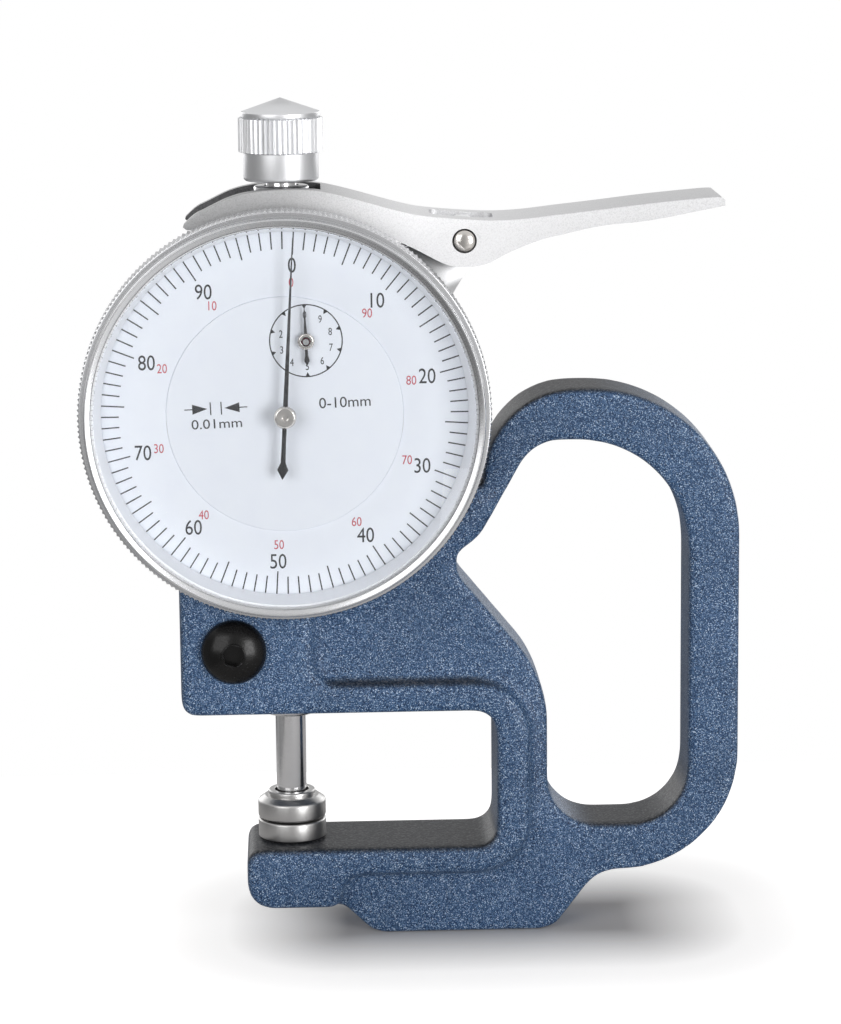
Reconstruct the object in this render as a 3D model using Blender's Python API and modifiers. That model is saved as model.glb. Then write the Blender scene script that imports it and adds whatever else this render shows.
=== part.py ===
"""Dial thickness gauge, modelled piece by piece.

A cast frame, C-shaped with a loop handle, holds a fixed anvil below and the stem of a
dial indicator above. Squeezing the lever at the top lifts the spindle, and a rack on the
spindle turns the pointers through a gear train. X runs along the throat to the handle,
Y from the dial towards the back, Z up. The origin is the middle of the foot's flat
underside. Inside the indicator, a level is a distance from its middle plane towards the
dial, so it grows along -Y.
"""

import math

import bmesh
import bpy

MM = 0.001

# Fits shared by all pieces
fit_gap = 0.3 * MM
pin_gap = 0.2 * MM
overrun = 2 * MM
facet_error = 0.12 * MM
weld_distance = 0.001 * MM
round_steps = 40
middle_steps = 24
small_steps = 16
tiny_steps = 8

# Range of the gauge
measuring_range = 10 * MM
travel_per_small_turn = 10 * MM

# Frame casting
throat_depth = 30 * MM
throat_height = 20.35 * MM
contact_height = 16.5 * MM
rim_thickness = 16.5 * MM
web_thickness = 12 * MM
casting_round = 1.1 * MM
nose_margin = 1.7 * MM
nose_height = 9 * MM
nose_length = 13.9 * MM
upper_rim_width = 4.45 * MM
back_rim_width = 4.9 * MM
lower_rim_width = 4 * MM
rim_corner = 8 * MM
throat_corner = 3 * MM
nose_corner = 3.6 * MM
block_left = 15.8 * MM
block_right = 3.5 * MM
block_corner = 2 * MM
cradle_wall = 3.7 * MM
foot_left = 11.8 * MM
foot_length = 26.5 * MM
foot_corner = 3 * MM
heel_slope = 6.7 * MM
heel_radius_share = 0.75
spine_width = 2.7 * MM
handle_reach = 31.1 * MM
handle_width = 7.3 * MM
handle_crown = 7.2 * MM
handle_floor = 7 * MM
handle_base = 8.8 * MM
handle_top_rise = 2.2 * MM
handle_top_radius = 22 * MM
handle_low_share = 0.85
opening_left_share = 0.34
opening_right_share = 0.41
opening_top_share = 0.715
spine_radius = 25 * MM
neck_wall = 1.2 * MM
neck_radius = 13 * MM
neck_width = 7.2 * MM
neck_drop = 11.7 * MM
neck_root_wall = 6.6 * MM
neck_root_radius = 6 * MM
neck_root_angle = math.radians(-34.6)
notch_wall = 4.5 * MM
notch_radius = 1.2 * MM
notch_height = 2.9 * MM
notch_angle = math.radians(-43.4)
spine_shoulder = 4.3 * MM
clamp_slit_width = 1.2 * MM

# Fixed anvil
anvil_radius = 5 * MM
anvil_flange_height = 3 * MM
anvil_shank_radius = 2.5 * MM
anvil_shank_length = 5.5 * MM
anvil_edge = 0.25 * MM

# Clamp screw across the slit
clamp_screw_left = 8 * MM
clamp_screw_rise = 9.8 * MM
screw_head_radius = 4.75 * MM
screw_head_height = 2.7 * MM
screw_flat_angle = math.radians(72)
screw_dome_angles = tuple(math.radians(angle) for angle in (60, 40, 20, 8))
screw_shank_radius = 2.5 * MM
screw_shank_length = 13 * MM
hex_width = 3 * MM
hex_depth = 1.5 * MM

# Indicator case
case_rise = 35.2 * MM
case_radius = 27 * MM
case_wall = 1.6 * MM
case_back = 7.2 * MM
case_ledge_width = 2.5 * MM
case_ledge_thickness = 0.9 * MM
case_rim_clearance = 0.5 * MM
boss_radius = 5 * MM
cover_thickness = 1.2 * MM
cover_edge = 0.4 * MM
cover_boss_radius = 1.9 * MM
cover_boss_length = 4 * MM
cover_boss_angles = tuple(math.radians(angle) for angle in (40, 140, 220, 320))
cover_screw_radius = 0.75 * MM
cover_screw_head_radius = 1.5 * MM
cover_screw_head_height = 0.8 * MM
cover_screw_length = 4 * MM

# Stem below the case and guide bush above it
stem_radius = 4 * MM
stem_protrusion = 0.8 * MM
stem_edge = 0.5 * MM
bush_protrusion = 4.5 * MM

# Spindle, lifting knob and contact
spindle_radius = 2.2 * MM
rack_set_in = 0.7 * MM
rack_teeth_above = 3
rack_teeth_below = 2
contact_band_height = 2.4 * MM
contact_shoulder_height = 0.8 * MM
contact_collar_height = 0.8 * MM
contact_collar_radius = 3.45 * MM
contact_shoulder_radius = 4.3 * MM
contact_socket_depth = 3 * MM
sleeve_radius = 5.4 * MM
sleeve_height = 4.1 * MM
sleeve_round = 0.5 * MM
knurl_radius = 6.05 * MM
knurl_height = 4.9 * MM
knurl_depth = 0.3 * MM
knurl_count = 36
knob_rim_radius = 5.7 * MM
knob_rim_height = 0.8 * MM
knob_cone_height = 2 * MM
knob_socket_depth = 8 * MM

# Guide pin through the spindle and its return spring
guide_pin_radius = 0.7 * MM
guide_pin_rise = 4.4 * MM
guide_pin_back = 5.4 * MM
guide_slot_half_width = 1 * MM
spring_level = 4.1 * MM
spring_radius = 1.1 * MM
spring_wire_radius = 0.16 * MM
spring_turn_count = 6
spring_point_count = 8
spring_anchor_drop = 15 * MM
anchor_post_radius = 0.8 * MM
anchor_post_right = 3.9 * MM

# Gear train; the tooth shares are of the pitch along it and of the module across it, and
# the train's rise is a share of the case's radius
tooth_width_share = 0.4
tooth_tip_share = 0.9
tooth_root_share = 1.25
fine_root_share = 1.6
rack_pinion_teeth = 16
transfer_teeth = 100
centre_teeth = 10
counter_teeth = 100
train_rise_share = 0.385
wheel_thickness = 0.6 * MM
pinion_half_length = 1.2 * MM
arbor_radius = 0.75 * MM
pivot_radius = 0.45 * MM
wheel_hub_radius = 1.9 * MM
wheel_rim_width = 1.7 * MM
spoke_count = 4
spoke_half_width = 0.6 * MM
jewel_radius = 1.3 * MM
plate_side_clearance = 1.8 * MM
base_plate_thickness = 1 * MM
front_plate_thickness = 0.8 * MM
plate_clearance = 0.6 * MM
wheel_clearance = 0.6 * MM
counter_clearance = 0.8 * MM
pillar_radius = 1.3 * MM
pillar_inset = 2.3 * MM
pillar_angles = tuple(math.radians(angle) for angle in (-30, 125, 210))
plate_screw_head_radius = 1.1 * MM
plate_screw_head_height = 0.5 * MM
plate_screw_radius = 0.55 * MM
plate_screw_length = 3 * MM
cock_length = 9 * MM
cock_width = 4 * MM
cock_thickness = 0.8 * MM
hairspring_clearance = 1 * MM
hairspring_height = 0.5 * MM
hairspring_inner = 1.6 * MM
hairspring_pitch = 0.8 * MM
hairspring_band = 0.16 * MM
hairspring_turn_count = 3
hairspring_point_count = 14
stud_radius = 0.5 * MM
front_plate_clearance = 1.1 * MM

# Dial, hands and glass
dial_disc_share = 0.615
dial_thickness = 0.8 * MM
scale_ring_gap = 0.3 * MM
scale_ring_thickness = 0.6 * MM
hand_hole_radius = 1 * MM
counter_hand_clearance = 0.5 * MM
hand_thickness = 0.35 * MM
counter_hand_length = 4.9 * MM
counter_tail_length = 3.4 * MM
counter_hub_radius = 1.1 * MM
pointer_clearance = 0.5 * MM
pointer_end_clearance = 1.2 * MM
pointer_tail_length = 9 * MM
pointer_root_half_width = 0.36 * MM
pointer_tip_half_width = 0.12 * MM
pointer_boss_radius = 1.5 * MM
pointer_cap_radius = 1.6 * MM
pointer_cap_height = 0.7 * MM
glass_clearance = 0.5 * MM
glass_thickness = 1 * MM

# Bezel
bezel_wall = 2 * MM
bezel_step = 1 * MM
bezel_knurl_depth = 0.3 * MM
bezel_knurl_band = 1.7 * MM
bezel_knurl_height = 5.3 * MM
bezel_knurl_count = 60
bezel_skirt = 1 * MM
bezel_lip = 0.9 * MM
bezel_round = 0.5 * MM
glass_seat_width = 0.9 * MM
snap_ring_width = 0.6 * MM
snap_ring_thickness = 0.5 * MM
snap_ring_recess = 0.2 * MM
snap_ring_gap_angle = math.radians(3)
snap_ring_gap_place = math.radians(-93)

# Lifting lever and its pivot
pivot_side_inset = 1.1 * MM
pivot_top_inset = 3.2 * MM
pivot_pin_radius = 1.6 * MM
pivot_dome = 0.5 * MM
lug_radius = 2.9 * MM
lug_thickness = 6 * MM
lug_root_width = 11 * MM
lever_wall = 2 * MM
fork_side_clearance = 0.5 * MM
lever_play = 0.75 * MM
fork_overhang = 13.9 * MM
lever_handle_length = 37.2 * MM
lever_round = 0.8 * MM
fork_slot_end = 5.6 * MM
lug_slot_left = 4.8 * MM
lug_slot_right = 4.4 * MM
fork_reach_at_knob = 7.65 * MM

# Worked out from the sizes above
foot_middle = foot_left + foot_length / 2
arm_top = contact_height - anvil_flange_height
arm_bottom = arm_top - nose_height
nose_tip = anvil_radius + nose_margin
throat_top = arm_top + throat_height
dial_rise = case_rise + case_radius
dial_height = contact_height + dial_rise
rim_back = throat_depth + back_rim_width
spine_right = rim_back + spine_width
heel_right = foot_left + foot_length + heel_slope
handle_top = dial_height + handle_top_rise
pocket_radius = case_radius + fit_gap
handle_inside = pocket_radius + handle_reach
handle_right = handle_inside + handle_width
handle_low_radius = (handle_right - heel_right) * handle_low_share
opening_width = handle_inside - spine_right
case_inside = case_radius - case_wall
plate_radius = case_inside - plate_side_clearance
pivot_right = case_radius - pivot_side_inset
pivot_rise = case_radius - pivot_top_inset
pivot_height = dial_height + pivot_rise
lever_fork_length = pivot_right + fork_overhang
lever_width = 2 * (stem_radius + fork_side_clearance + lever_wall)
sleeve_bottom = pivot_height + fork_reach_at_knob + lever_play
rack_module = travel_per_small_turn / rack_pinion_teeth / math.pi
rack_pinion_pitch_radius = rack_module * rack_pinion_teeth / 2
rack_line = spindle_radius - rack_set_in
train_side = rack_line + rack_pinion_pitch_radius
train_rise = case_radius * train_rise_share
train_distance = math.hypot(train_side, train_rise)
wheel_module = 2 * train_distance / (transfer_teeth + centre_teeth)
train_angle = math.atan2(train_rise, train_side)
base_plate_level = spindle_radius + plate_clearance
transfer_level = base_plate_level + base_plate_thickness + wheel_clearance
counter_level = transfer_level + wheel_thickness + counter_clearance
hairspring_level = counter_level + wheel_thickness + hairspring_clearance
front_plate_level = hairspring_level + hairspring_height + front_plate_clearance
front_plate_top = front_plate_level + front_plate_thickness
dial_level = front_plate_top + fit_gap
counter_hand_level = dial_level + dial_thickness + counter_hand_clearance
pointer_level = counter_hand_level + 2 * hand_thickness + pointer_clearance
pointer_cap_level = pointer_level + hand_thickness + fit_gap
glass_level = pointer_cap_level + pointer_cap_height + glass_clearance
glass_radius = case_radius
snap_ring_level = glass_level + glass_thickness + fit_gap
case_front_level = dial_level - case_rim_clearance
bezel_back_level = case_front_level - bezel_skirt
dial_disc_radius = case_radius * dial_disc_share
bezel_bore = case_radius + fit_gap
pointer_length = bezel_bore - glass_seat_width - pointer_end_clearance
bezel_front_level = snap_ring_level + snap_ring_thickness + snap_ring_recess
bezel_radius = bezel_bore + bezel_wall
cock_level = -(spindle_radius + plate_clearance + cock_thickness)


def empty_scene():
    """Removes what is in the scene, so that the model stands alone."""
    for thing in list(bpy.data.objects):
        bpy.data.objects.remove(thing, do_unlink=True)


empty_scene()
gauge_collection = bpy.data.collections.new("dial_thickness_gauge")
cutter_collection = bpy.data.collections.new("cutters")
bpy.context.scene.collection.children.link(gauge_collection)
bpy.context.scene.collection.children.link(cutter_collection)


def make_empty(name, turn):
    """An empty on the spindle's axis at foot height, which carries the pieces."""
    empty = bpy.data.objects.new(name, None)
    empty.location = (-foot_middle, 0, 0)
    empty.rotation_euler = (turn, 0, 0)
    gauge_collection.objects.link(empty)
    return empty


# Pieces that stand upright hang from one empty, and pieces seen face on from the other
upright = make_empty("upright_axes", 0)
facing = make_empty("facing_axes", math.pi / 2)


def make_material(name, colour, roughness, metallic):
    """A plain surface in the piece's colour."""
    material = bpy.data.materials.new(name)
    material.use_nodes = True
    shader = material.node_tree.nodes["Principled BSDF"]
    shader.inputs["Base Color"].default_value = (*colour, 1)
    shader.inputs["Roughness"].default_value = roughness
    shader.inputs["Metallic"].default_value = metallic
    return material


blue_paint = make_material("blue_hammered_paint", (0.05, 0.13, 0.28), 0.5, 0.2)
ground_steel = make_material("ground_steel", (0.55, 0.55, 0.56), 0.25, 1)
satin_aluminium = make_material("satin_aluminium", (0.72, 0.73, 0.75), 0.4, 1)
black_oxide = make_material("black_oxide_steel", (0.02, 0.02, 0.022), 0.35, 0.8)
black_enamel = make_material("black_enamel", (0.01, 0.01, 0.01), 0.5, 0)
white_dial = make_material("white_dial_paint", (0.85, 0.88, 0.93), 0.5, 0)
brass = make_material("brass", (0.7, 0.5, 0.2), 0.3, 1)
ruby = make_material("synthetic_ruby", (0.5, 0.02, 0.08), 0.1, 0)
spring_steel = make_material("spring_steel", (0.4, 0.4, 0.42), 0.3, 1)
clear_glass = make_material("clear_crystal", (0.9, 0.93, 0.95), 0.05, 0)


def place(thing, parent, at, material=None):
    """Hangs an object from an empty; pieces get their material, tools stay out of view."""
    is_tool = material is None
    collection = cutter_collection if is_tool else gauge_collection
    collection.objects.link(thing)
    thing.parent = parent
    thing.location = at
    if is_tool:
        thing.hide_render = True
        thing.display_type = "WIRE"
    else:
        thing.data.materials.append(material)
    return thing


def turned(name, profile, parent, at, material=None, steps=round_steps, ring=False):
    """A turned solid. The profile lists (radius, height) down the outer side."""
    mesh = bpy.data.meshes.new(name)
    points = [(radius, 0, height) for radius, height in profile]
    edges = [(index, index + 1) for index in range(len(points) - 1)]
    if ring:
        edges.append((len(points) - 1, 0))
    mesh.from_pydata(points, edges, [])
    thing = bpy.data.objects.new(name, mesh)
    screw = thing.modifiers.new("turn", "SCREW")
    screw.axis = "Z"
    screw.angle = math.tau
    screw.steps = steps
    screw.render_steps = steps
    screw.use_merge_vertices = True
    screw.merge_threshold = weld_distance
    screw.use_smooth_shade = True
    return place(thing, parent, at, material)


def rod(name, radius, low, high, parent, at, material=None, steps=small_steps):
    """A plain round bar between two heights."""
    profile = [(0, high), (radius, high), (radius, low), (0, low)]
    return turned(name, profile, parent, at, material, steps)


def tube(name, outer, inner, low, high, parent, at, material=None, steps=small_steps):
    """A plain round tube between two heights."""
    profile = [(inner, high), (outer, high), (outer, low), (inner, low)]
    return turned(name, profile, parent, at, material, steps, ring=True)


def flat_solid(name, outlines, low, high, parent, at, material=None):
    """A solid with a flat outline, drawn as a filled curve between two heights."""
    curve = bpy.data.curves.new(name, "CURVE")
    curve.dimensions = "2D"
    curve.fill_mode = "BOTH"
    curve.extrude = (high - low) / 2
    for outline in outlines:
        spline = curve.splines.new("POLY")
        spline.points.add(len(outline) - 1)
        for point, (x, y) in zip(spline.points, outline):
            point.co = (x, y, 0, 1)
        spline.use_cyclic_u = True
    drawn = bpy.data.objects.new(name + "_curve", curve)
    gauge_collection.objects.link(drawn)
    mesh = mesh_from(drawn, (high + low) / 2)
    mesh.name = name
    bpy.data.objects.remove(drawn)
    return place(bpy.data.objects.new(name, mesh), parent, at, material)


def mesh_from(drawn, lift=0):
    """The welded mesh of a curve object, raised by lift."""
    bpy.context.view_layer.update()
    evaluated = drawn.evaluated_get(bpy.context.evaluated_depsgraph_get())
    mesh = bpy.data.meshes.new_from_object(evaluated)
    work = bmesh.new()
    work.from_mesh(mesh)
    bmesh.ops.remove_doubles(work, verts=work.verts, dist=weld_distance)
    bmesh.ops.translate(work, verts=work.verts, vec=(0, 0, lift))
    bmesh.ops.recalc_face_normals(work, faces=work.faces)
    work.to_mesh(mesh)
    work.free()
    return mesh


def box(name, low, high, parent, material=None):
    """A box between two corners."""
    mesh = bpy.data.meshes.new(name)
    work = bmesh.new()
    bmesh.ops.create_cube(work, size=1)
    sides = [upper - lower for lower, upper in zip(low, high)]
    bmesh.ops.scale(work, verts=work.verts, vec=sides)
    work.to_mesh(mesh)
    work.free()
    middle = [(lower + upper) / 2 for lower, upper in zip(low, high)]
    return place(bpy.data.objects.new(name, mesh), parent, middle, material)


def combine(target, tool, operation):
    """Adds one Boolean step to the target."""
    step = target.modifiers.new(tool.name, "BOOLEAN")
    step.operation = operation
    step.object = tool


def cut(target, *tools):
    """Cuts each tool out of the target."""
    for tool in tools:
        combine(target, tool, "DIFFERENCE")


def join(target, *tools):
    """Joins each tool to the target."""
    for tool in tools:
        combine(target, tool, "UNION")


def soften(thing, width, segments=1):
    """Rounds the sharp edges of a plate, before it is cut."""
    bevel = thing.modifiers.new("soften", "BEVEL")
    bevel.width = width
    bevel.segments = segments
    bevel.limit_method = "ANGLE"
    bevel.angle_limit = math.radians(60)


def arc(centre, radius, start, end):
    """Points on an arc, with facets no further than facet_error from it."""
    step = 2 * math.acos(1 - min(facet_error / radius, 1 / 2))
    count = max(1, math.ceil(abs(end - start) / step))
    angles = [start + (end - start) * index / count for index in range(count + 1)]
    return [(centre[0] + radius * math.cos(a), centre[1] + radius * math.sin(a)) for a in angles]


def circle(centre, radius, count=round_steps):
    """Points evenly round a circle."""
    angles = [math.tau * index / count for index in range(count)]
    return [(centre[0] + radius * math.cos(a), centre[1] + radius * math.sin(a)) for a in angles]


def rounded_outline(corners):
    """An outline through (x, y, radius) corners, each rounded by its own radius."""
    points = []
    for index, (x, y, radius) in enumerate(corners):
        before = corners[index - 1]
        after = corners[(index + 1) % len(corners)]
        points += corner_arc((x, y), before, after, radius)
    return points


def corner_arc(corner, before, after, radius):
    """The arc that rounds one corner, limited by the sides that meet there."""
    if radius == 0:
        return [corner]
    x, y = corner
    back = math.atan2(before[1] - y, before[0] - x)
    ahead = math.atan2(after[1] - y, after[0] - x)
    opening = (ahead - back + math.pi) % math.tau - math.pi
    half = abs(opening) / 2
    reach = radius / math.tan(half)
    sides = [math.dist(corner, before[:2]), math.dist(corner, after[:2])]
    reach = min(reach, *sides)
    radius = reach * math.tan(half)
    middle = back + opening / 2
    distance = math.hypot(radius, reach)
    centre = (x + distance * math.cos(middle), y + distance * math.sin(middle))
    start = math.atan2(y + reach * math.sin(back) - centre[1], x + reach * math.cos(back) - centre[0])
    turn = math.copysign(math.pi - abs(opening), -opening)
    return arc(centre, radius, start, start + turn)


def smooth_outline(points, steps=2):
    """A smooth open curve through points, with steps facets from each to the next."""
    padded = [points[0], *points, points[-1]]
    curve = []
    for a, b, c, d in zip(padded, padded[1:], padded[2:], padded[3:]):
        for index in range(steps):
            t = index / steps
            curve.append(tuple(spline_value(t, *values) for values in zip(a, b, c, d)))
    return curve + [points[-1]]


def spline_value(t, a, b, c, d):
    """One coordinate of a curve that runs from b to c and leans towards a and d."""
    slope_in = (c - a) / 2
    slope_out = (d - b) / 2
    rise = (2 * t**3 - 3 * t**2 + 1) * b + (3 * t**2 - 2 * t**3) * c
    return rise + (t**3 - 2 * t**2 + t) * slope_in + (t**3 - t**2) * slope_out


def polar(radius, angle, centre=(0, 0)):
    """A point at a radius and an angle from a centre."""
    return (centre[0] + radius * math.cos(angle), centre[1] + radius * math.sin(angle))


def outward(level):
    """The place on the dial's axis at a level."""
    return (0, dial_height, level)


dial_middle = (0, dial_height)
transfer_place = (-train_side, dial_height - train_rise, 0)
counter_place = (train_side, dial_height + train_rise, 0)
spindle_place = (0, 0, contact_height)


def web_outline():
    """The thin web: lower arm, foot, loop handle and neck, back to the case's pocket."""
    half_rim = back_rim_width / 2
    inside_pocket = pocket_radius - case_wall
    neck_angle = -math.asin(neck_drop / inside_pocket)
    return rounded_outline([
        (0, arm_bottom, 0),
        (nose_length - nose_tip, arm_bottom, 0),
        (foot_left, 0, foot_corner),
        (foot_left + foot_length, 0, foot_corner),
        (heel_right, handle_base, heel_slope * heel_radius_share),
        (handle_right, handle_base, handle_low_radius),
        (handle_right, handle_top, handle_top_radius),
        (pocket_radius + neck_wall, handle_top, neck_radius),
        (pocket_radius + neck_wall, dial_height - neck_drop, 0),
        (*polar(inside_pocket, neck_angle, dial_middle), 0),
        (*polar(inside_pocket, notch_angle, dial_middle), 0),
        (0, dial_height - inside_pocket, 0),
        (0, throat_top + upper_rim_width / 2, 0),
        (throat_depth + half_rim, throat_top + upper_rim_width / 2, 0),
        (throat_depth + half_rim, arm_top - lower_rim_width / 2, 0),
        (0, arm_top - lower_rim_width / 2, 0),
    ])


def rim_outline():
    """The thick C round the throat, with the nose below and the clamp block above."""
    rim_bottom = arm_top - lower_rim_width
    rim_top = throat_top + upper_rim_width
    nose_end = nose_length - nose_tip
    inside_pocket = dial_height - pocket_radius + 2 * cradle_wall
    return rounded_outline([
        (-nose_tip, arm_top, casting_round * 3 / 2),
        (throat_depth, arm_top, throat_corner),
        (throat_depth, throat_top, throat_corner),
        (-block_left, throat_top, block_corner),
        (-block_left, inside_pocket + block_left / 2, 0),
        (block_right, inside_pocket, 0),
        (block_right, rim_top, throat_corner),
        (rim_back, rim_top, rim_corner),
        (rim_back, rim_bottom, rim_corner),
        (nose_end, rim_bottom, throat_corner),
        (nose_end, arm_bottom, casting_round * 3 / 2),
        (-nose_tip, arm_bottom, nose_corner),
    ])


def cradle_outline():
    """The thick strip that follows the case from the block to the handle's neck."""
    strip = pocket_radius + cradle_wall
    start = -math.pi / 2 - math.asin((block_left - casting_round) / strip)
    end = notch_angle - notch_wall / strip
    set_back = casting_round * 3 / 2
    notch_x, notch_z = notch_place()
    root_x, root_z = neck_root()
    crown_x, crown_z = opening_crown()
    neck_z = dial_height - neck_drop - neck_wall
    along = (neck_z - root_z) / (crown_z - root_z)
    return [
        *arc(dial_middle, strip, start, end),
        (notch_x - set_back, notch_z),
        (root_x - set_back, root_z),
        (root_x + (crown_x - root_x) * along - set_back, neck_z),
        (pocket_radius + neck_wall / 2, neck_z),
        polar(pocket_radius - overrun, notch_angle / 2, dial_middle),
    ]


def notch_place():
    """The upper of the two corners where the finger opening comes nearest to the case."""
    return polar(pocket_radius + notch_wall, notch_angle, dial_middle)


def neck_root():
    """The lower end of the neck's straight side, in the finger opening."""
    return polar(pocket_radius + neck_root_wall, neck_root_angle, dial_middle)


def opening_crown():
    """The upper left corner of the finger opening, before it is rounded."""
    return (pocket_radius + neck_wall + neck_width, handle_top - handle_crown)


def opening_outline():
    """The finger opening inside the loop handle."""
    low = handle_base + handle_floor
    high = handle_top - handle_crown
    crown_x = opening_crown()[0]
    notch_x, notch_z = notch_place()
    return rounded_outline([
        (spine_right, low, opening_width * opening_left_share),
        (handle_inside, low, opening_width * opening_right_share),
        (handle_inside, high, (handle_inside - crown_x) * opening_top_share),
        (*opening_crown(), neck_radius - handle_crown),
        (*neck_root(), neck_root_radius),
        (notch_x, notch_z, notch_radius),
        (notch_x, notch_z - notch_height, notch_radius),
        (spine_right, throat_top + spine_shoulder, spine_radius),
    ])


def build_frame():
    """The casting: a thin web joined to a thick rim, pocketed for the case and bored."""
    half_web = web_thickness / 2
    half_rim = rim_thickness / 2
    outlines = [web_outline(), opening_outline()]
    frame = flat_solid("frame", outlines, -half_web, half_web, facing, (0, 0, 0), blue_paint)
    soften(frame, casting_round)
    rim = flat_solid("rim_form", [rim_outline()], -half_rim, half_rim, facing, (0, 0, 0))
    cradle = flat_solid("cradle_form", [cradle_outline()], -half_rim, half_rim, facing, (0, 0, 0))
    for form in (rim, cradle):
        soften(form, casting_round)
    join(frame, rim, cradle)
    pocket = rod("case_pocket", pocket_radius, -half_rim - overrun, half_rim + overrun,
                 facing, outward(0), steps=2 * round_steps)
    stem_bore = rod("stem_bore", stem_radius + fit_gap, throat_top - overrun, dial_height,
                    upright, (0, 0, 0), steps=small_steps)
    anvil_bore = rod("anvil_bore", anvil_shank_radius + fit_gap,
                     arm_top - anvil_shank_length - fit_gap, arm_top + overrun, upright, (0, 0, 0))
    slit = box("clamp_slit", (-block_left - overrun, -clamp_slit_width / 2, throat_top - overrun),
               (0, clamp_slit_width / 2, dial_height - case_inside), upright)
    screw_hole = rod("clamp_screw_hole", screw_shank_radius + fit_gap, -half_rim - overrun,
                     half_rim + overrun, facing, clamp_screw_place(0))
    cut(frame, pocket, stem_bore, anvil_bore, slit, screw_hole)


def clamp_screw_place(level):
    """Where the clamp screw's axis crosses the block."""
    return (-clamp_screw_left, throat_top + clamp_screw_rise, level)


def build_clamp_screw():
    """A button-head socket screw that closes the slit block on the stem."""
    seat = rim_thickness / 2 + fit_gap
    head_top = seat + screw_head_height
    dome = [(screw_head_radius * math.cos(angle), seat + screw_head_height * math.sin(angle))
            for angle in screw_dome_angles]
    profile = [(0, head_top), (screw_head_radius * math.cos(screw_flat_angle), head_top), *dome,
               (screw_head_radius, seat), (screw_shank_radius, seat),
               (screw_shank_radius, seat - screw_shank_length), (0, seat - screw_shank_length)]
    screw = turned("clamp_screw", profile, facing, clamp_screw_place(0), black_oxide, small_steps)
    hexagon = circle((0, 0), hex_width / 2 / math.cos(math.pi / 6), 6)
    socket = flat_solid("hex_socket", [hexagon], head_top - hex_depth, head_top + overrun,
                        facing, clamp_screw_place(0))
    cut(screw, socket)


def build_anvil():
    """The fixed measuring face, pressed into the lower arm."""
    seat = arm_top + fit_gap
    profile = [(0, contact_height), (anvil_radius - anvil_edge, contact_height),
               (anvil_radius, contact_height - anvil_edge), (anvil_radius, seat),
               (anvil_shank_radius, seat), (anvil_shank_radius, arm_top - anvil_shank_length),
               (0, arm_top - anvil_shank_length)]
    turned("anvil", profile, upright, (0, 0, 0), ground_steel, middle_steps)


def build_case():
    """The indicator's body: a ring with a ledge, bosses and the lever's lug."""
    ledge_top = base_plate_level - fit_gap
    ledge_low = ledge_top - case_ledge_thickness
    ledge_inside = case_inside - case_ledge_width
    profile = [(case_inside, case_front_level), (case_radius, case_front_level),
               (case_radius, -case_back), (case_inside, -case_back), (case_inside, ledge_low),
               (ledge_inside, ledge_low), (ledge_inside, ledge_top), (case_inside, ledge_top)]
    case = turned("indicator_case", profile, facing, outward(0), satin_aluminium,
                  round_steps, ring=True)
    wall_middle = case_radius - case_wall / 2
    boss_inside = plate_radius + fit_gap
    for name, low, high in (("stem_boss", -wall_middle, -boss_inside),
                            ("bush_boss", boss_inside, wall_middle)):
        join(case, rod(name, boss_radius, dial_height + low, dial_height + high, upright, (0, 0, 0)))
    for number, angle in enumerate(cover_boss_angles, 1):
        place_in_face = polar(cover_boss_ring(), angle, dial_middle)
        join(case, rod(f"cover_boss_{number}", cover_boss_radius, -case_back,
                       cover_boss_length - case_back, facing, (*place_in_face, 0), steps=tiny_steps))
    join(case, flat_solid("lever_lug", [lug_outline()], -lug_thickness / 2, lug_thickness / 2,
                          facing, (0, 0, 0)))
    bore = rod("case_bore", stem_radius + fit_gap, dial_height - case_radius - overrun,
               dial_height + case_radius + overrun, upright, (0, 0, 0))
    cut(case, bore)
    for number, angle in enumerate(cover_boss_angles, 1):
        place_in_face = polar(cover_boss_ring(), angle, dial_middle)
        cut(case, rod(f"cover_thread_{number}", cover_screw_radius + fit_gap, -case_back - overrun,
                      cover_boss_length - case_back - case_wall / 2, facing, (*place_in_face, 0),
                      steps=tiny_steps))
    cut(case, rod("lug_hole", pivot_pin_radius + pin_gap, -lug_thickness, lug_thickness,
                  facing, pivot_place()))


def cover_boss_ring():
    """The radius of the circle on which the rear cover's screws lie."""
    return case_inside - cover_boss_radius + case_wall / 4


def pivot_place(level=0):
    """Where the lever's axis crosses the middle plane."""
    return (pivot_right, pivot_height, level)


def lug_outline():
    """The lever's lug: a round head at the pivot on a wider root at the case."""
    pivot = (pivot_right, pivot_height)
    angle = math.atan2(pivot_rise, pivot_right)
    root = polar(case_radius - case_wall / 2, angle, dial_middle)
    side = angle + math.pi / 2
    return [
        polar(lug_root_width / 2, side, root),
        polar(-lug_root_width / 2, side, root),
        *arc(pivot, lug_radius, side - math.pi, side),
    ]


def build_rear_cover():
    """The flat back of the case and its four countersunk screws."""
    seat = -case_back - fit_gap
    back = seat - cover_thickness
    profile = [(0, seat), (case_radius - cover_edge, seat), (case_radius, seat - cover_edge),
               (case_radius - cover_edge, back), (0, back)]
    cover = turned("rear_cover", profile, facing, outward(0), satin_aluminium)
    head = (cover_screw_radius, cover_screw_head_radius, cover_screw_head_height)
    for number, angle in enumerate(cover_boss_angles, 1):
        spot = (*polar(cover_boss_ring(), angle, dial_middle), 0)
        hole = hole_profile(back, 1, head, cover_thickness)
        cut(cover, turned(f"cover_hole_{number}", hole, facing, spot, None, tiny_steps))
        turned(f"rear_cover_screw_{number}", screw_profile(back, 1, head, cover_screw_length),
               facing, spot, ground_steel, tiny_steps)


def screw_profile(face, way, head, length):
    """A countersunk screw, driven way from its face; head is (radius, head radius, head height)."""
    radius, head_radius, head_height = head
    steps = [(0, 0), (head_radius, 0), (radius, head_height), (radius, length), (0, length)]
    return driven(steps, face, way)


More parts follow.
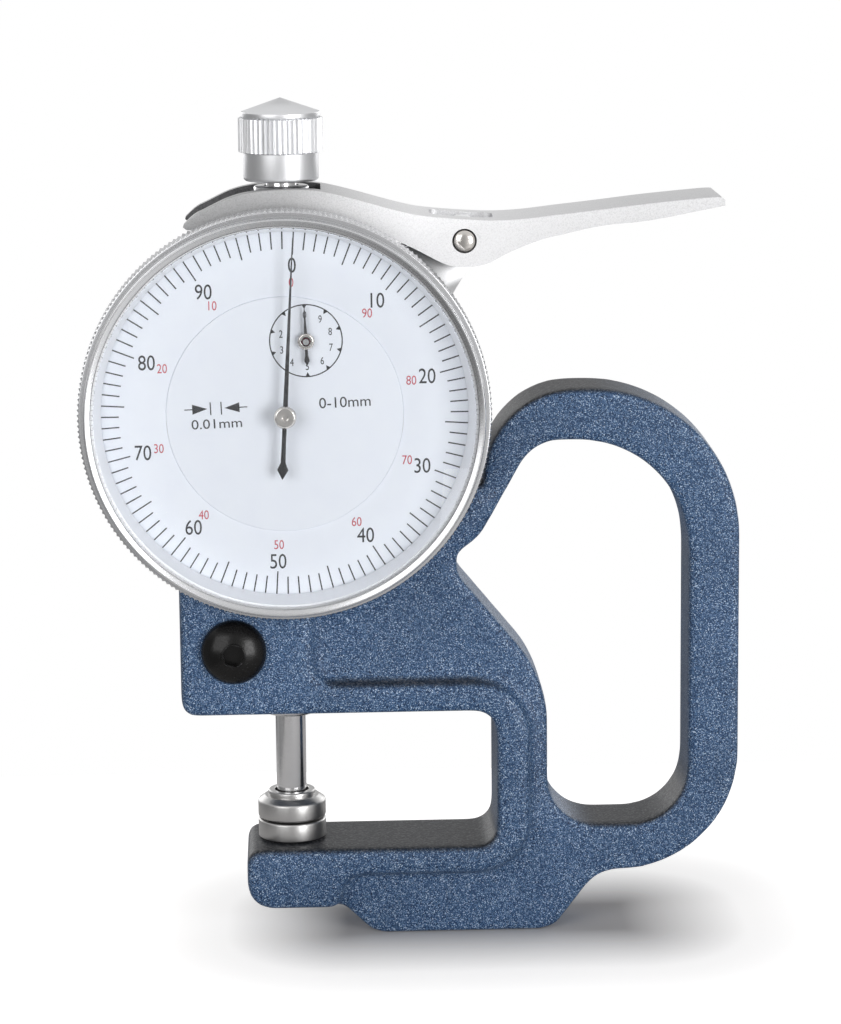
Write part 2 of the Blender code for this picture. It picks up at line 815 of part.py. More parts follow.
def hole_profile(face, way, head, thickness):
    """The hole that seats such a screw in a plate."""
    radius, head_radius, head_height = head
    far = thickness + overrun
    steps = [(0, -overrun), (head_radius + fit_gap, -overrun), (head_radius + fit_gap, 0),
             (radius + fit_gap, head_height), (radius + fit_gap, far), (0, far)]
    return driven(steps, face, way)


def driven(steps, face, way):
    """Turns (radius, depth) steps into a profile that runs from top to bottom."""
    profile = [(radius, face + way * depth) for radius, depth in steps]
    return profile[::-way]


def build_stem():
    """The stem tube, clamped in the frame and seated in the case."""
    low = throat_top - stem_protrusion
    high = dial_height - plate_radius - fit_gap
    bore = spindle_radius + fit_gap
    profile = [(bore, high), (stem_radius, high), (stem_radius, low + stem_edge),
               (stem_radius - stem_edge, low), (bore, low)]
    turned("stem", profile, upright, (0, 0, 0), ground_steel, small_steps, ring=True)


def build_upper_bush():
    """The bush above the case that guides the spindle's upper end."""
    low = dial_height + plate_radius + fit_gap
    high = dial_height + case_radius + bush_protrusion
    tube("upper_bush", stem_radius, spindle_radius + fit_gap, low, high,
         upright, (0, 0, 0), ground_steel)


def rack_outline():
    """The gaps between the rack's teeth, as a comb that reaches in from the left."""
    pitch = rack_module * math.pi
    tip_line = -(rack_line + rack_module)
    root_line = -(rack_line - rack_module * tooth_root_share)
    low, high = rack_span()
    outside = -spindle_radius - overrun
    count = round((high - low) / pitch)
    root_half = pitch * (1 - tooth_width_share) / 5
    tip_half = pitch * (1 - tooth_width_share) * 2 / 3
    points = [(outside, low), (tip_line, low)]
    for index in range(count):
        gap = low + (index + 1 / 2) * pitch
        points += [(tip_line, gap - tip_half), (root_line, gap - root_half),
                   (root_line, gap + root_half), (tip_line, gap + tip_half)]
    return points + [(tip_line, low + count * pitch), (outside, low + count * pitch)]


def rack_span():
    """The toothed stretch of the spindle, measured from the contact's face.

    A gap faces the rack pinion's middle at rest, and the teeth run on below it by the
    measuring range, because the rack rises past the pinion.
    """
    pitch = rack_module * math.pi
    pinion_height = dial_rise - train_rise
    below = math.ceil(measuring_range / pitch) + rack_teeth_below
    low = pinion_height - (below + 1 / 2) * pitch
    high = pinion_height + (rack_teeth_above + 1 / 2) * pitch
    return low, high


def build_spindle():
    """The measuring rod, with rack teeth on its left and a cross hole for the guide pin."""
    low = fit_gap + contact_total_height() - contact_socket_depth + fit_gap
    high = sleeve_bottom - contact_height + knob_socket_depth - fit_gap
    spindle = rod("spindle", spindle_radius, low, high, upright, spindle_place, ground_steel,
                  small_steps)
    comb = flat_solid("rack_gaps", [rack_outline()], -spindle_radius - overrun,
                      spindle_radius + overrun, facing, (0, contact_height, 0))
    pin_hole = rod("guide_pin_hole", guide_pin_radius + pin_gap, -spindle_radius - overrun,
                   spindle_radius + overrun, facing, guide_pin_place(), steps=tiny_steps)
    cut(spindle, comb, pin_hole)


def contact_total_height():
    """The height of the contact, from its face to the top of its collar."""
    return contact_band_height + contact_shoulder_height + contact_collar_height


def build_contact():
    """The moving contact: a lapped band, a shoulder and a collar that holds the spindle."""
    low = fit_gap
    band = low + contact_band_height
    shoulder = band + contact_shoulder_height
    top = low + contact_total_height()
    socket = top - contact_socket_depth
    bore = spindle_radius + fit_gap
    profile = [(0, socket), (bore, socket), (bore, top), (contact_collar_radius, top),
               (contact_collar_radius, shoulder), (contact_shoulder_radius, shoulder),
               (anvil_radius, band), (anvil_radius, low), (0, low)]
    turned("contact_tip", profile, upright, spindle_place, ground_steel, middle_steps)


def build_lift_knob():
    """The knob on the spindle: a sleeve, a knurled grip and a low cone."""
    base = sleeve_bottom - contact_height
    grip = base + sleeve_height
    rim = grip + knurl_height
    cone = rim + knob_rim_height
    bore = spindle_radius + fit_gap
    inner_grip = knurl_radius - 2 * knurl_depth
    profile = [(0, cone + knob_cone_height), (knob_rim_radius, cone), (knob_rim_radius, rim),
               (inner_grip, rim), (inner_grip, grip), (sleeve_radius, grip),
               (sleeve_radius, base + sleeve_round), (sleeve_radius - sleeve_round, base),
               (bore, base), (bore, base + knob_socket_depth), (0, base + knob_socket_depth)]
    knob = turned("lift_knob", profile, upright, spindle_place, satin_aluminium, middle_steps)
    outlines = [knurled_circle(knurl_radius, knurl_depth, knurl_count),
                circle((0, 0), sleeve_radius - sleeve_round, middle_steps)]
    join(knob, flat_solid("knob_knurl", outlines, grip, rim, upright, spindle_place))


def knurled_circle(radius, depth, count):
    """A circle with straight knurls, as alternate ridges and valleys."""
    points = []
    for index in range(count):
        angle = math.tau * index / count
        points += [polar(radius, angle), polar(radius - depth, angle + math.pi / count)]
    return points


def guide_pin_place():
    """Where the guide pin crosses the spindle at rest."""
    return (0, dial_height + guide_pin_rise, 0)


def build_guide_pin():
    """The pin that keeps the spindle from turning and holds the return spring."""
    front = base_plate_level + base_plate_thickness
    rod("guide_pin", guide_pin_radius, -guide_pin_back, front, facing, guide_pin_place(),
        ground_steel, tiny_steps)


def build_return_spring():
    """The tension spring between the anchor and the guide pin, which shuts the gauge."""
    low = dial_height - spring_anchor_drop + anchor_post_radius + fit_gap + spring_wire_radius
    high = dial_height + guide_pin_rise - guide_pin_radius - fit_gap - spring_wire_radius
    count = spring_turn_count * spring_point_count
    points = []
    for index in range(count + 1):
        angle = math.tau * index / spring_point_count
        height = low + (high - low) * index / count
        points.append((spring_radius * math.cos(angle),
                       spring_level + spring_radius * math.sin(angle), height))
    wire("return_spring", points, spring_wire_radius, upright, spring_steel)


def wire(name, points, radius, parent, material):
    """A closed tube along points."""
    curve = bpy.data.curves.new(name, "CURVE")
    curve.dimensions = "3D"
    curve.bevel_depth = radius
    curve.bevel_resolution = 1
    curve.use_fill_caps = True
    spline = curve.splines.new("POLY")
    spline.points.add(len(points) - 1)
    for point, place_on_wire in zip(spline.points, points):
        point.co = (*place_on_wire, 1)
    drawn = bpy.data.objects.new(name + "_curve", curve)
    gauge_collection.objects.link(drawn)
    mesh = mesh_from(drawn)
    bpy.data.objects.remove(drawn)
    return place(bpy.data.objects.new(name, mesh), parent, (0, 0, 0), material)


def build_spring_anchor():
    """A post on the base plate whose finger holds the return spring's lower end."""
    height = dial_height - spring_anchor_drop
    post = rod("spring_anchor", anchor_post_radius, -spring_level - anchor_post_radius,
               base_plate_level - fit_gap, facing, (anchor_post_right, height, 0),
               ground_steel, tiny_steps)
    finger = box("anchor_finger",
                 (-spring_radius, spring_level - anchor_post_radius, height - anchor_post_radius),
                 (anchor_post_right, spring_level + anchor_post_radius, height + anchor_post_radius),
                 upright)
    join(post, finger)


def pinion_outline(teeth, module, phase=0):
    """The outline of a pinion with flat-topped teeth; phase places the first one."""
    pitch_radius = module * teeth / 2
    tip = pitch_radius + module * tooth_tip_share
    root = pitch_radius - module * tooth_root_share
    pitch_angle = math.tau / teeth
    half_at_pitch = pitch_angle * tooth_width_share / 2
    half_tip = half_at_pitch / 2
    half_root = half_at_pitch * 3 / 2
    points = []
    for index in range(teeth):
        middle = phase + index * pitch_angle
        points += [polar(root, middle - half_root), polar(tip, middle - half_tip),
                   polar(tip, middle + half_tip), polar(root, middle + half_root)]
    return points


def fine_teeth_outline(teeth, phase):
    """The outline of a wheel with fine pointed teeth, as on a clock wheel."""
    tip = wheel_module * (teeth / 2 + tooth_tip_share)
    root = wheel_module * (teeth / 2 - fine_root_share)
    pitch_angle = math.tau / teeth
    points = []
    for index in range(teeth):
        middle = phase + index * pitch_angle
        points += [polar(root, middle - pitch_angle / 2), polar(tip, middle)]
    return points


def wheel_outlines(teeth, phase):
    """A fine wheel: toothed rim, spoke openings and a bore."""
    outlines = [fine_teeth_outline(teeth, phase),
                circle((0, 0), arbor_radius + fit_gap, tiny_steps)]
    inner = wheel_hub_radius
    outer = wheel_module * (teeth / 2 - fine_root_share) - wheel_rim_width
    for index in range(spoke_count):
        low = math.tau * index / spoke_count
        high = low + math.tau / spoke_count
        inset_out = math.asin(spoke_half_width / outer)
        inset_in = math.asin(spoke_half_width / inner)
        outlines.append(arc((0, 0), outer, low + inset_out, high - inset_out)
                        + arc((0, 0), inner, high - inset_in, low + inset_in))
    return outlines


def arbor(name, stretches, parent, at, material):
    """A stepped shaft, given as (radius, low, high) stretches from top to bottom."""
    profile = [(0, stretches[0][2])]
    for radius, low, high in stretches:
        profile += [(radius, high), (radius, low)]
    profile.append((0, stretches[-1][1]))
    return turned(name, profile, parent, at, material, tiny_steps)


def build_transfer_train():
    """The rack pinion on its arbor, and the transfer wheel that it carries."""
    rear_step = cock_level + cock_thickness + fit_gap
    front_step = front_plate_level - fit_gap
    stretches = [(pivot_radius, front_step, front_plate_top), (arbor_radius, rear_step, front_step),
                 (pivot_radius, cock_level, rear_step)]
    pinion = arbor("rack_pinion", stretches, facing, transfer_place, ground_steel)
    teeth = flat_solid("rack_pinion_teeth", [pinion_outline(rack_pinion_teeth, rack_module)],
                       -pinion_half_length, pinion_half_length, facing, transfer_place)
    join(pinion, teeth)
    phase = train_angle + math.pi / transfer_teeth
    flat_solid("transfer_gear", wheel_outlines(transfer_teeth, phase), transfer_level,
               transfer_level + wheel_thickness, facing, transfer_place, brass)


def build_centre_pinion():
    """The pinion in the middle of the dial, whose arbor carries the pointer."""
    low = transfer_level - fit_gap
    high = counter_level + wheel_thickness + fit_gap
    top = pointer_cap_level + pointer_cap_height / 2
    pinion = arbor("centre_pinion", plate_stretches(top), facing, outward(0), ground_steel)
    outline = pinion_outline(centre_teeth, wheel_module, train_angle)
    join(pinion, flat_solid("centre_pinion_teeth", [outline], low, high, facing, outward(0)))


def plate_stretches(top):
    """The stretches of an arbor that turns in both plates and ends at top, before the dial."""
    rear_step = base_plate_level + base_plate_thickness + fit_gap
    front_step = front_plate_level - fit_gap
    return [(pivot_radius, front_step, top), (arbor_radius, rear_step, front_step),
            (pivot_radius, base_plate_level, rear_step)]


def build_counter_train():
    """The turn counter's arbor, its wheel and its small hand."""
    top = counter_hand_level + hand_thickness + fit_gap
    arbor("counter_arbor", plate_stretches(top), facing, counter_place, ground_steel)
    phase = train_angle + math.pi + math.pi / counter_teeth
    flat_solid("counter_gear", wheel_outlines(counter_teeth, phase), counter_level,
               counter_level + wheel_thickness, facing, counter_place, brass)
    build_counter_hand()


def build_counter_hand():
    """The small hand, with an arrow tail."""
    narrow = pointer_tip_half_width
    wide = pointer_root_half_width
    tail = counter_tail_length
    side = math.asin(wide / counter_hub_radius)
    up = math.pi / 2
    right = arc((0, 0), counter_hub_radius, up - side, side - up)
    left = arc((0, 0), counter_hub_radius, 3 * up - side, up + side)
    outline = [(narrow, counter_hand_length), *right, (narrow, -tail * 2 / 3), (2 * wide, -tail * 2 / 3),
               (0, -tail), (-2 * wide, -tail * 2 / 3), (-narrow, -tail * 2 / 3), *left,
               (-narrow, counter_hand_length)]
    bore = circle((0, 0), pivot_radius + pin_gap, tiny_steps)
    flat_solid("counter_hand", [outline, bore], counter_hand_level,
               counter_hand_level + hand_thickness, facing, counter_place, black_enamel)


def build_pointer():
    """The long pointer with its counterweight tail, under a turned cap."""
    tail = pointer_tail_length
    wide = pointer_root_half_width
    narrow = pointer_tip_half_width
    side = math.asin(wide / pointer_boss_radius)
    up = math.pi / 2
    right = arc((0, 0), pointer_boss_radius, up - side, side - up)
    left = arc((0, 0), pointer_boss_radius, 3 * up - side, up + side)
    outline = [(narrow, pointer_length), *right, (narrow, -tail / 2), (2 * wide, -tail * 4 / 5),
               (0, -tail), (-2 * wide, -tail * 4 / 5), (-narrow, -tail / 2), *left,
               (-narrow, pointer_length)]
    bore = circle((0, 0), pivot_radius + fit_gap, tiny_steps)
    flat_solid("pointer", [outline, bore], pointer_level, pointer_level + hand_thickness,
               facing, outward(0), black_enamel)
    low = pointer_cap_level
    top = low + pointer_cap_height
    inside = pivot_radius + pin_gap
    ceiling = (low + top + fit_gap) / 2 + fit_gap / 2
    profile = [(0, top), (pointer_cap_radius * 4 / 5, top), (pointer_cap_radius, low + fit_gap),
               (pointer_cap_radius, low), (inside, low), (inside, ceiling), (0, ceiling)]
    turned("pointer_cap", profile, facing, outward(0), satin_aluminium, small_steps)


def plate_outlines():
    """A round movement plate with a jewel's seat at each of the three arbors."""
    seats = [(0, 0), (train_side, train_rise), (-train_side, -train_rise)]
    return [circle((0, 0), plate_radius),
            *[circle(seat, jewel_radius + fit_gap, tiny_steps) for seat in seats]]


def build_plates():
    """The two plates of the movement, with a slot in the rear one for the guide pin."""
    half = guide_slot_half_width
    slot_low = guide_pin_rise - half
    slot_high = guide_pin_rise + measuring_range + half
    slot = rounded_outline([(-half, slot_low, half / 2), (half, slot_low, half / 2),
                            (half, slot_high, half / 2), (-half, slot_high, half / 2)])
    flat_solid("base_plate", [*plate_outlines(), slot], base_plate_level,
               base_plate_level + base_plate_thickness, facing, outward(0), brass)
    front_plate = flat_solid("front_plate", plate_outlines(), front_plate_level, front_plate_top,
                             facing, outward(0), brass)
    for number, angle in enumerate(pillar_angles, 1):
        build_pillar(number, (*polar(plate_radius - pillar_inset, angle, dial_middle), 0), front_plate)


def build_pillar(number, at, front_plate):
    """A pillar between the plates, with the countersunk screw that holds the front one."""
    low = base_plate_level + base_plate_thickness + fit_gap
    high = front_plate_level - fit_gap
    depth = front_plate_top - plate_screw_length - fit_gap
    hole = plate_screw_radius + fit_gap
    profile = [(0, depth), (hole, depth), (hole, high), (pillar_radius, high),
               (pillar_radius, low), (0, low)]
    turned(f"plate_pillar_{number}", profile, facing, at, ground_steel, tiny_steps)
    head = (plate_screw_radius, plate_screw_head_radius, plate_screw_head_height)
    screw_hole = hole_profile(front_plate_top, -1, head, front_plate_thickness)
    cut(front_plate, turned(f"plate_hole_{number}", screw_hole, facing, at, None, tiny_steps))
    turned(f"plate_screw_{number}", screw_profile(front_plate_top, -1, head, plate_screw_length),
           facing, at, ground_steel, tiny_steps)


def build_cock():
    """The bridge behind the base plate that holds the rack pinion's rear pivot."""
    seat = jewel_radius + fit_gap
    half = cock_width / 2
    outline = rounded_outline([(half, half, half), (-cock_length - half, half, half),
                               (-cock_length - half, -half, half), (half, -half, half)])
    cock = flat_solid("rack_cock", [outline, circle((0, 0), seat, tiny_steps)], cock_level,
                      cock_level + cock_thickness, facing, transfer_place, brass)
    foot = rod("cock_foot", half - fit_gap, cock_level + cock_thickness / 2,
               base_plate_level - fit_gap, facing,
               (transfer_place[0] - cock_length, transfer_place[1], 0), steps=tiny_steps)
    join(cock, foot)


def build_jewels():
    """Ring jewels in the plates and the cock, one at each pivot."""
    base_span = (base_plate_level, base_plate_level + base_plate_thickness)
    front_span = (front_plate_level, front_plate_top)
    cock_span = (cock_level, cock_level + cock_thickness)
    spots = (("rack_pinion_rear_jewel", transfer_place, cock_span),
             ("rack_pinion_front_jewel", transfer_place, front_span),
             ("centre_rear_jewel", outward(0), base_span),
             ("centre_front_jewel", outward(0), front_span),
             ("counter_rear_jewel", counter_place, base_span),
             ("counter_front_jewel", counter_place, front_span))
    for name, at, (low, high) in spots:
        tube(name, jewel_radius, pivot_radius + pin_gap, low, high, facing, at, ruby, tiny_steps)


def build_hairspring():
    """The flat spiral that takes up backlash, and the stud at its outer end."""
    count = hairspring_turn_count * hairspring_point_count
    inner_side = []
    outer_side = []
    for index in range(count + 1):
        angle = math.tau * index / hairspring_point_count
        radius = hairspring_inner + hairspring_pitch * index / hairspring_point_count
        inner_side.append(polar(radius, angle))
        outer_side.append(polar(radius + hairspring_band, angle))
    outline = inner_side + outer_side[::-1]
    flat_solid("hairspring", [outline], hairspring_level, hairspring_level + hairspring_height,
               facing, counter_place, spring_steel)
    outer = hairspring_inner + hairspring_pitch * hairspring_turn_count + hairspring_band
    at = (counter_place[0] + outer + fit_gap + stud_radius, counter_place[1], 0)
    rod("hairspring_stud", stud_radius, hairspring_level, front_plate_level - fit_gap,
        facing, at, ground_steel, tiny_steps)


def build_dial():
    """The fixed inner disc with the counter's dial, and the scale ring round it."""
    holes = [circle((0, 0), hand_hole_radius, tiny_steps),
             circle((train_side, train_rise), hand_hole_radius, tiny_steps)]
    flat_solid("dial_disc", [circle((0, 0), dial_disc_radius, round_steps), *holes], dial_level,
               dial_level + dial_thickness, facing, outward(0), white_dial)
    tube("scale_ring", bezel_bore - fit_gap, dial_disc_radius + scale_ring_gap, dial_level,
         dial_level + scale_ring_thickness, facing, outward(0), white_dial, round_steps)


def build_bezel():
    """The turning bezel: a knurled ring that carries the scale ring and the glass."""
    seat_level = glass_level - fit_gap
    ring_ledge = dial_level + scale_ring_thickness + fit_gap
    seat_bore = bezel_bore - glass_seat_width
    body = bezel_radius - bezel_step
    front = bezel_front_level
    profile = [(bezel_bore + bezel_round / 2, front), (bezel_bore + bezel_lip - bezel_round / 2, front),
               (body, front - bezel_round), (body, bezel_back_level), (bezel_bore, bezel_back_level),
               (bezel_bore, ring_ledge), (seat_bore, ring_ledge), (seat_bore, seat_level),
               (bezel_bore, seat_level), (bezel_bore, front - bezel_round / 2)]
    bezel = turned("bezel", profile, facing, outward(0), satin_aluminium, ring=True)
    band = [knurled_circle(bezel_radius, bezel_knurl_depth * 2 / 3, bezel_knurl_count),
            circle((0, 0), bezel_radius - bezel_knurl_band, round_steps)]
    join(bezel, flat_solid("bezel_knurl", band, bezel_back_level + bezel_round / 2,
                           bezel_back_level + bezel_knurl_height, facing, outward(0)))


def build_crystal():
    """The clear glass and the sprung ring that holds it in the bezel."""
    rod("crystal", glass_radius, glass_level, glass_level + glass_thickness, facing, outward(0),
        clear_glass, round_steps)
    inner = glass_radius - snap_ring_width
    start = snap_ring_gap_place + snap_ring_gap_angle / 2
    end = snap_ring_gap_place - snap_ring_gap_angle / 2 + math.tau
    outline = arc((0, 0), glass_radius, start, end) + arc((0, 0), inner, end, start)
    flat_solid("crystal_snap_ring", [outline], snap_ring_level,
               snap_ring_level + snap_ring_thickness, facing, outward(0), spring_steel)


# Side view of the lever from its pivot: shares of the fork's length to the left or of the
# handle's length to the right, and shares of the fork's reach at the knob for the height
lever_top_shares = ((-1, 0.375), (-0.92, 0.661), (-0.84, 0.858), (-0.76, 0.961), (-0.665, 1), (-0.58, 1),
                    (-0.51, 0.967), (-0.4, 0.83), (-0.226, 0.575), (-0.118, 0.471), (0.08, 0.392),
                    (0.22, 0.405), (0.37, 0.484), (0.524, 0.562), (0.715, 0.667), (0.93, 0.758))
lever_bottom_shares = ((0.997, 0.593), (0.715, 0.339), (0.524, 0.249), (0.37, 0.091), (0.29, 0),
                       (0.177, -0.21), (0.083, -0.431), (0, -0.487), (-0.05, -0.455), (-0.094, -0.371),
                       (-0.156, -0.196), (-0.226, -0.013), (-0.3, 0.138), (-0.44, 0.379), (-0.58, 0.509),
                       (-0.7, 0.503), (-0.83, 0.371), (-0.93, 0.265), (-0.99, 0.275))


def lever_points(shares, inset=0):
    """Places on the lever's side view, lowered by inset."""
    points = []
    for x_share, z_share in shares:
        length = lever_fork_length if x_share < 0 else lever_handle_length
        points.append((x_share * length, z_share * fork_reach_at_knob - inset))
    return points


def lever_outline():
    """The lever's side view, nose to tail and back."""
    tip = (lever_handle_length, fork_reach_at_knob * 2 / 3)
    top = smooth_outline(lever_points(lever_top_shares))
    bottom = smooth_outline(lever_points(lever_bottom_shares))
    return top + [tip] + bottom


def channel_outline():
    """The hollow under the lever, open below and one wall under its top."""
    left = -lever_fork_length - overrun
    inner = [point for point in lever_points(lever_top_shares, lever_wall)
             if point[0] < lever_handle_length - 2 * lever_wall]
    deep = -fork_reach_at_knob
    right = (lever_handle_length - 2 * lever_wall, inner[-1][1])
    return [(left, inner[0][1])] + smooth_outline(inner) + [right, (right[0], deep), (left, deep)]


def build_lever():
    """The lifting lever: a channel, forked round the bush and slotted over the lug."""
    half = lever_width / 2
    inside = half - lever_wall
    lever = flat_solid("lever", [lever_outline()], -half, half, facing, pivot_place(), satin_aluminium)
    soften(lever, lever_round)
    hollow = flat_solid("lever_channel", [channel_outline()], -inside, inside, facing, pivot_place())
    height = pivot_height + 2 * fork_reach_at_knob
    floor = pivot_height - 2 * fork_reach_at_knob
    fork_slot = box("fork_slot", (pivot_right - lever_fork_length - overrun, -inside, floor),
                    (fork_slot_end, inside, height), upright)
    lug_slot = box("lug_slot", (pivot_right - lug_slot_left, -lug_thickness / 2 - fit_gap, pivot_height),
                   (pivot_right + lug_slot_right, lug_thickness / 2 + fit_gap, height), upright)
    pin_hole = rod("lever_pin_hole", pivot_pin_radius + pin_gap, -half - overrun, half + overrun,
                   facing, pivot_place())
    cut(lever, hollow, fork_slot, lug_slot, pin_hole)


def build_pivot_pin():
    """The lever's pivot, a pin with domed ends."""
    end = lever_width / 2
    radius = pivot_pin_radius
    profile = [(0, end + pivot_dome), (radius / 2, end + pivot_dome * 7 / 8),
               (radius * 7 / 8, end + pivot_dome / 2), (radius, end), (radius, -end),
               (radius * 7 / 8, -end - pivot_dome / 2), (radius / 2, -end - pivot_dome * 7 / 8),
               (0, -end - pivot_dome)]
    turned("pivot_pin", profile, facing, pivot_place(), ground_steel, small_steps)


build_frame()
build_clamp_screw()
build_anvil()
build_case()
build_rear_cover()
build_stem()
build_upper_bush()
build_spindle()
build_contact()
build_lift_knob()
build_guide_pin()
build_return_spring()
build_spring_anchor()
build_transfer_train()
build_centre_pinion()
build_counter_train()
build_pointer()
build_plates()
build_cock()
build_jewels()
build_hairspring()
build_dial()
build_bezel()
build_crystal()
build_lever()
build_pivot_pin()
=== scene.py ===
"""The dial thickness gauge as a studio photograph shows it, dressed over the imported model.

Lengths are in millimetres, and the mesh tools and the finishes turn them into metres. Three sets
of axes are used: the dial's, whose third axis is the level towards the viewer; the side view's
(x from the spindle, height above the foot, level); and the spindle's own upright axes.
"""
import math

import bmesh
import bpy
from mathutils import Matrix, Vector


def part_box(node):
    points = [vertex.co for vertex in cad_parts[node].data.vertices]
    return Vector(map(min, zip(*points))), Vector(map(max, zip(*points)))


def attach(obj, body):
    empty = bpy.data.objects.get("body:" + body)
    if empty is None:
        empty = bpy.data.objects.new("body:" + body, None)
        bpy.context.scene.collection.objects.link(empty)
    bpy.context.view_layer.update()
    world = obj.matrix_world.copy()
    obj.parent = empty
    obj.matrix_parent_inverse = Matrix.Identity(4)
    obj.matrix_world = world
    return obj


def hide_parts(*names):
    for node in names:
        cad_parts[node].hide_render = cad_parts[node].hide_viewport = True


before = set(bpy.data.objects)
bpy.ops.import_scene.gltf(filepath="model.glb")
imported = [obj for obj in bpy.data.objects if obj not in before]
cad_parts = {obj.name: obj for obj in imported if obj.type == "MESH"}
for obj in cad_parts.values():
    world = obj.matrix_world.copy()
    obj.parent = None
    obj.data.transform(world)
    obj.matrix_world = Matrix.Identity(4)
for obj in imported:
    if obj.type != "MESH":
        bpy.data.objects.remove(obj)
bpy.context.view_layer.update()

MM = 0.001
QUARTER = math.pi / 2


def extent(node, axis):
    """The lowest and highest place of a node along one axis."""
    low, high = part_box(node)
    return low[axis] / MM, high[axis] / MM


def middle(node, axis):
    """The middle of a node along one axis."""
    return sum(extent(node, axis)) / 2


def levels(node):
    """The lowest and highest level of a node towards the viewer."""
    front, back = extent(node, 1)
    return -back, -front


def facing(x, z):
    """The axes of a piece that faces the viewer at a place of the side view."""
    return Matrix.Translation((x * MM, 0, z * MM)) @ Matrix.Rotation(QUARTER, 4, "X")


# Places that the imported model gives
spindle_x, dial_z = middle("crystal", 0), middle("crystal", 2)
pivot_x, pivot_z = middle("pivot_pin", 0), middle("pivot_pin", 2)
counter_x = middle("counter_arbor", 0) - spindle_x
counter_y = middle("counter_arbor", 2) - dial_z
contact_z = extent("anvil", 2)[1]
arm_top = contact_z - 3

dial_axes = facing(spindle_x, dial_z)
side_axes = facing(spindle_x, 0)
lever_axes = facing(pivot_x, pivot_z)
screw_axes = facing(middle("clamp_screw", 0), middle("clamp_screw", 2))
upright_axes = Matrix.Translation((spindle_x * MM, 0, 0))


# ---- shader tools
def put(tree, socket, value):
    """A link from another socket, or a plain value."""
    if isinstance(value, bpy.types.NodeSocket):
        tree.links.new(value, socket)
    else:
        socket.default_value = value


def add(tree, kind, inputs=None, **settings):
    """A shader node with its settings and its inputs."""
    node = tree.nodes.new("ShaderNode" + kind)
    for name, value in settings.items():
        setattr(node, name, value)
    for key, value in (inputs or {}).items():
        put(tree, node.inputs[key], value)
    return node


def new_group(name, label, default, results):
    """A node group: coordinates and one labelled value go in, and the results come out."""
    group = bpy.data.node_groups.new(name, "ShaderNodeTree")
    group.interface.new_socket("Coordinates", in_out="INPUT", socket_type="NodeSocketVector")
    value = group.interface.new_socket(label, in_out="INPUT", socket_type="NodeSocketFloat")
    value.default_value = default
    for result in results:
        group.interface.new_socket(result, in_out="OUTPUT", socket_type="NodeSocketFloat")
    given = group.nodes.new("NodeGroupInput").outputs
    return group, given["Coordinates"], given[label], group.nodes.new("NodeGroupOutput").inputs


def ramp(tree, factor, stops):
    """A colour ramp with (place, colour or grey) stops."""
    node = add(tree, "ValToRGB", {"Fac": factor})
    elements = node.color_ramp.elements
    while len(elements) < len(stops):
        elements.new(0.5)
    for element, (place, colour) in zip(elements, stops):
        element.position = place
        element.color = (*colour, 1) if isinstance(colour, tuple) else (colour, colour, colour, 1)
    return node.outputs["Color"]


def mix(tree, factor, first, second, blend="MIX"):
    """Two colours mixed by a factor."""
    node = add(tree, "Mix", {"Factor": factor}, data_type="RGBA", blend_type=blend)
    for index, value in ((6, first), (7, second)):
        put(tree, node.inputs[index], (*value, 1) if isinstance(value, tuple) else value)
    return node.outputs[2]


def maths(tree, operation, first, second=0.0):
    """One sum on one or two values."""
    return add(tree, "Math", {0: first, 1: second}, operation=operation).outputs[0]


def spread(tree, value, low, high, new_low=0.0, new_high=1.0, kind="LINEAR"):
    """A value's range from low to high, spread over a new range."""
    return add(tree, "MapRange", {"Value": value, "From Min": low, "From Max": high,
                                  "To Min": new_low, "To Max": new_high},
               interpolation_type=kind).outputs[0]


def clouds(tree, place, scale, detail=2.0):
    """Soft noise."""
    return add(tree, "TexNoise", {"Vector": place, "Scale": scale, "Detail": detail}).outputs["Fac"]


def split(tree, vector):
    """The three parts of a vector."""
    return add(tree, "SeparateXYZ", {"Vector": vector}).outputs


def flat_length(tree, x, y):
    """How long a flat arrow with these two sides is."""
    arrow = add(tree, "CombineXYZ", {"X": x, "Y": y}).outputs[0]
    return add(tree, "VectorMath", {0: arrow}, operation="LENGTH").outputs["Value"]


def speckle_group():
    """Small cells of random brightness, as in hammered paint or a blasted surface."""
    group, place, size, result = new_group("speckle", "Cell Size", 0.4 * MM, ["Brightness", "Height"])
    scale = maths(group, "DIVIDE", 1.0, size)
    level = spread(group, clouds(group, place, scale, 1.0), 0.32, 0.68)
    cells = add(group, "TexVoronoi", {"Vector": place, "Scale": scale}, feature="F1").outputs
    chance = add(group, "SeparateColor", {"Color": cells["Color"]}).outputs["Red"]
    both = add(group, "Mix", {"Factor": 0.5, "A": level, "B": chance}).outputs[0]
    put(group, result["Brightness"], both)
    dome = maths(group, "SUBTRACT", 1.0, cells["Distance"])
    put(group, result["Height"], maths(group, "MULTIPLY", dome, level))
    return group


def wear_group():
    """A mask of the edges that stand out, broken up by noise."""
    group, place, amount, result = new_group("edge_wear", "Amount", 0.5, ["Mask"])
    pointed = add(group, "NewGeometry").outputs["Pointiness"]
    edge = spread(group, pointed, 0.52, 0.62)
    broken = spread(group, clouds(group, place, 900.0, 3.0), 0.4, 0.62)
    mask = maths(group, "MULTIPLY", maths(group, "MULTIPLY", edge, broken), amount)
    put(group, result["Mask"], mask)
    return group


def turned_group():
    """Fine rings that a lathe leaves: they follow the distance from the axis and the height."""
    group, place, size, result = new_group("turned_rings", "Ring Size", 0.08 * MM, ["Value"])
    parts = split(group, place)
    radius = flat_length(group, parts["X"], parts["Y"])
    line = add(group, "CombineXYZ", {"X": radius, "Y": parts["Z"]}).outputs[0]
    put(group, result["Value"], clouds(group, line, maths(group, "DIVIDE", 1.0, size), 1.0))
    return group


speckle = speckle_group()
edge_wear = wear_group()
turned_rings = turned_group()


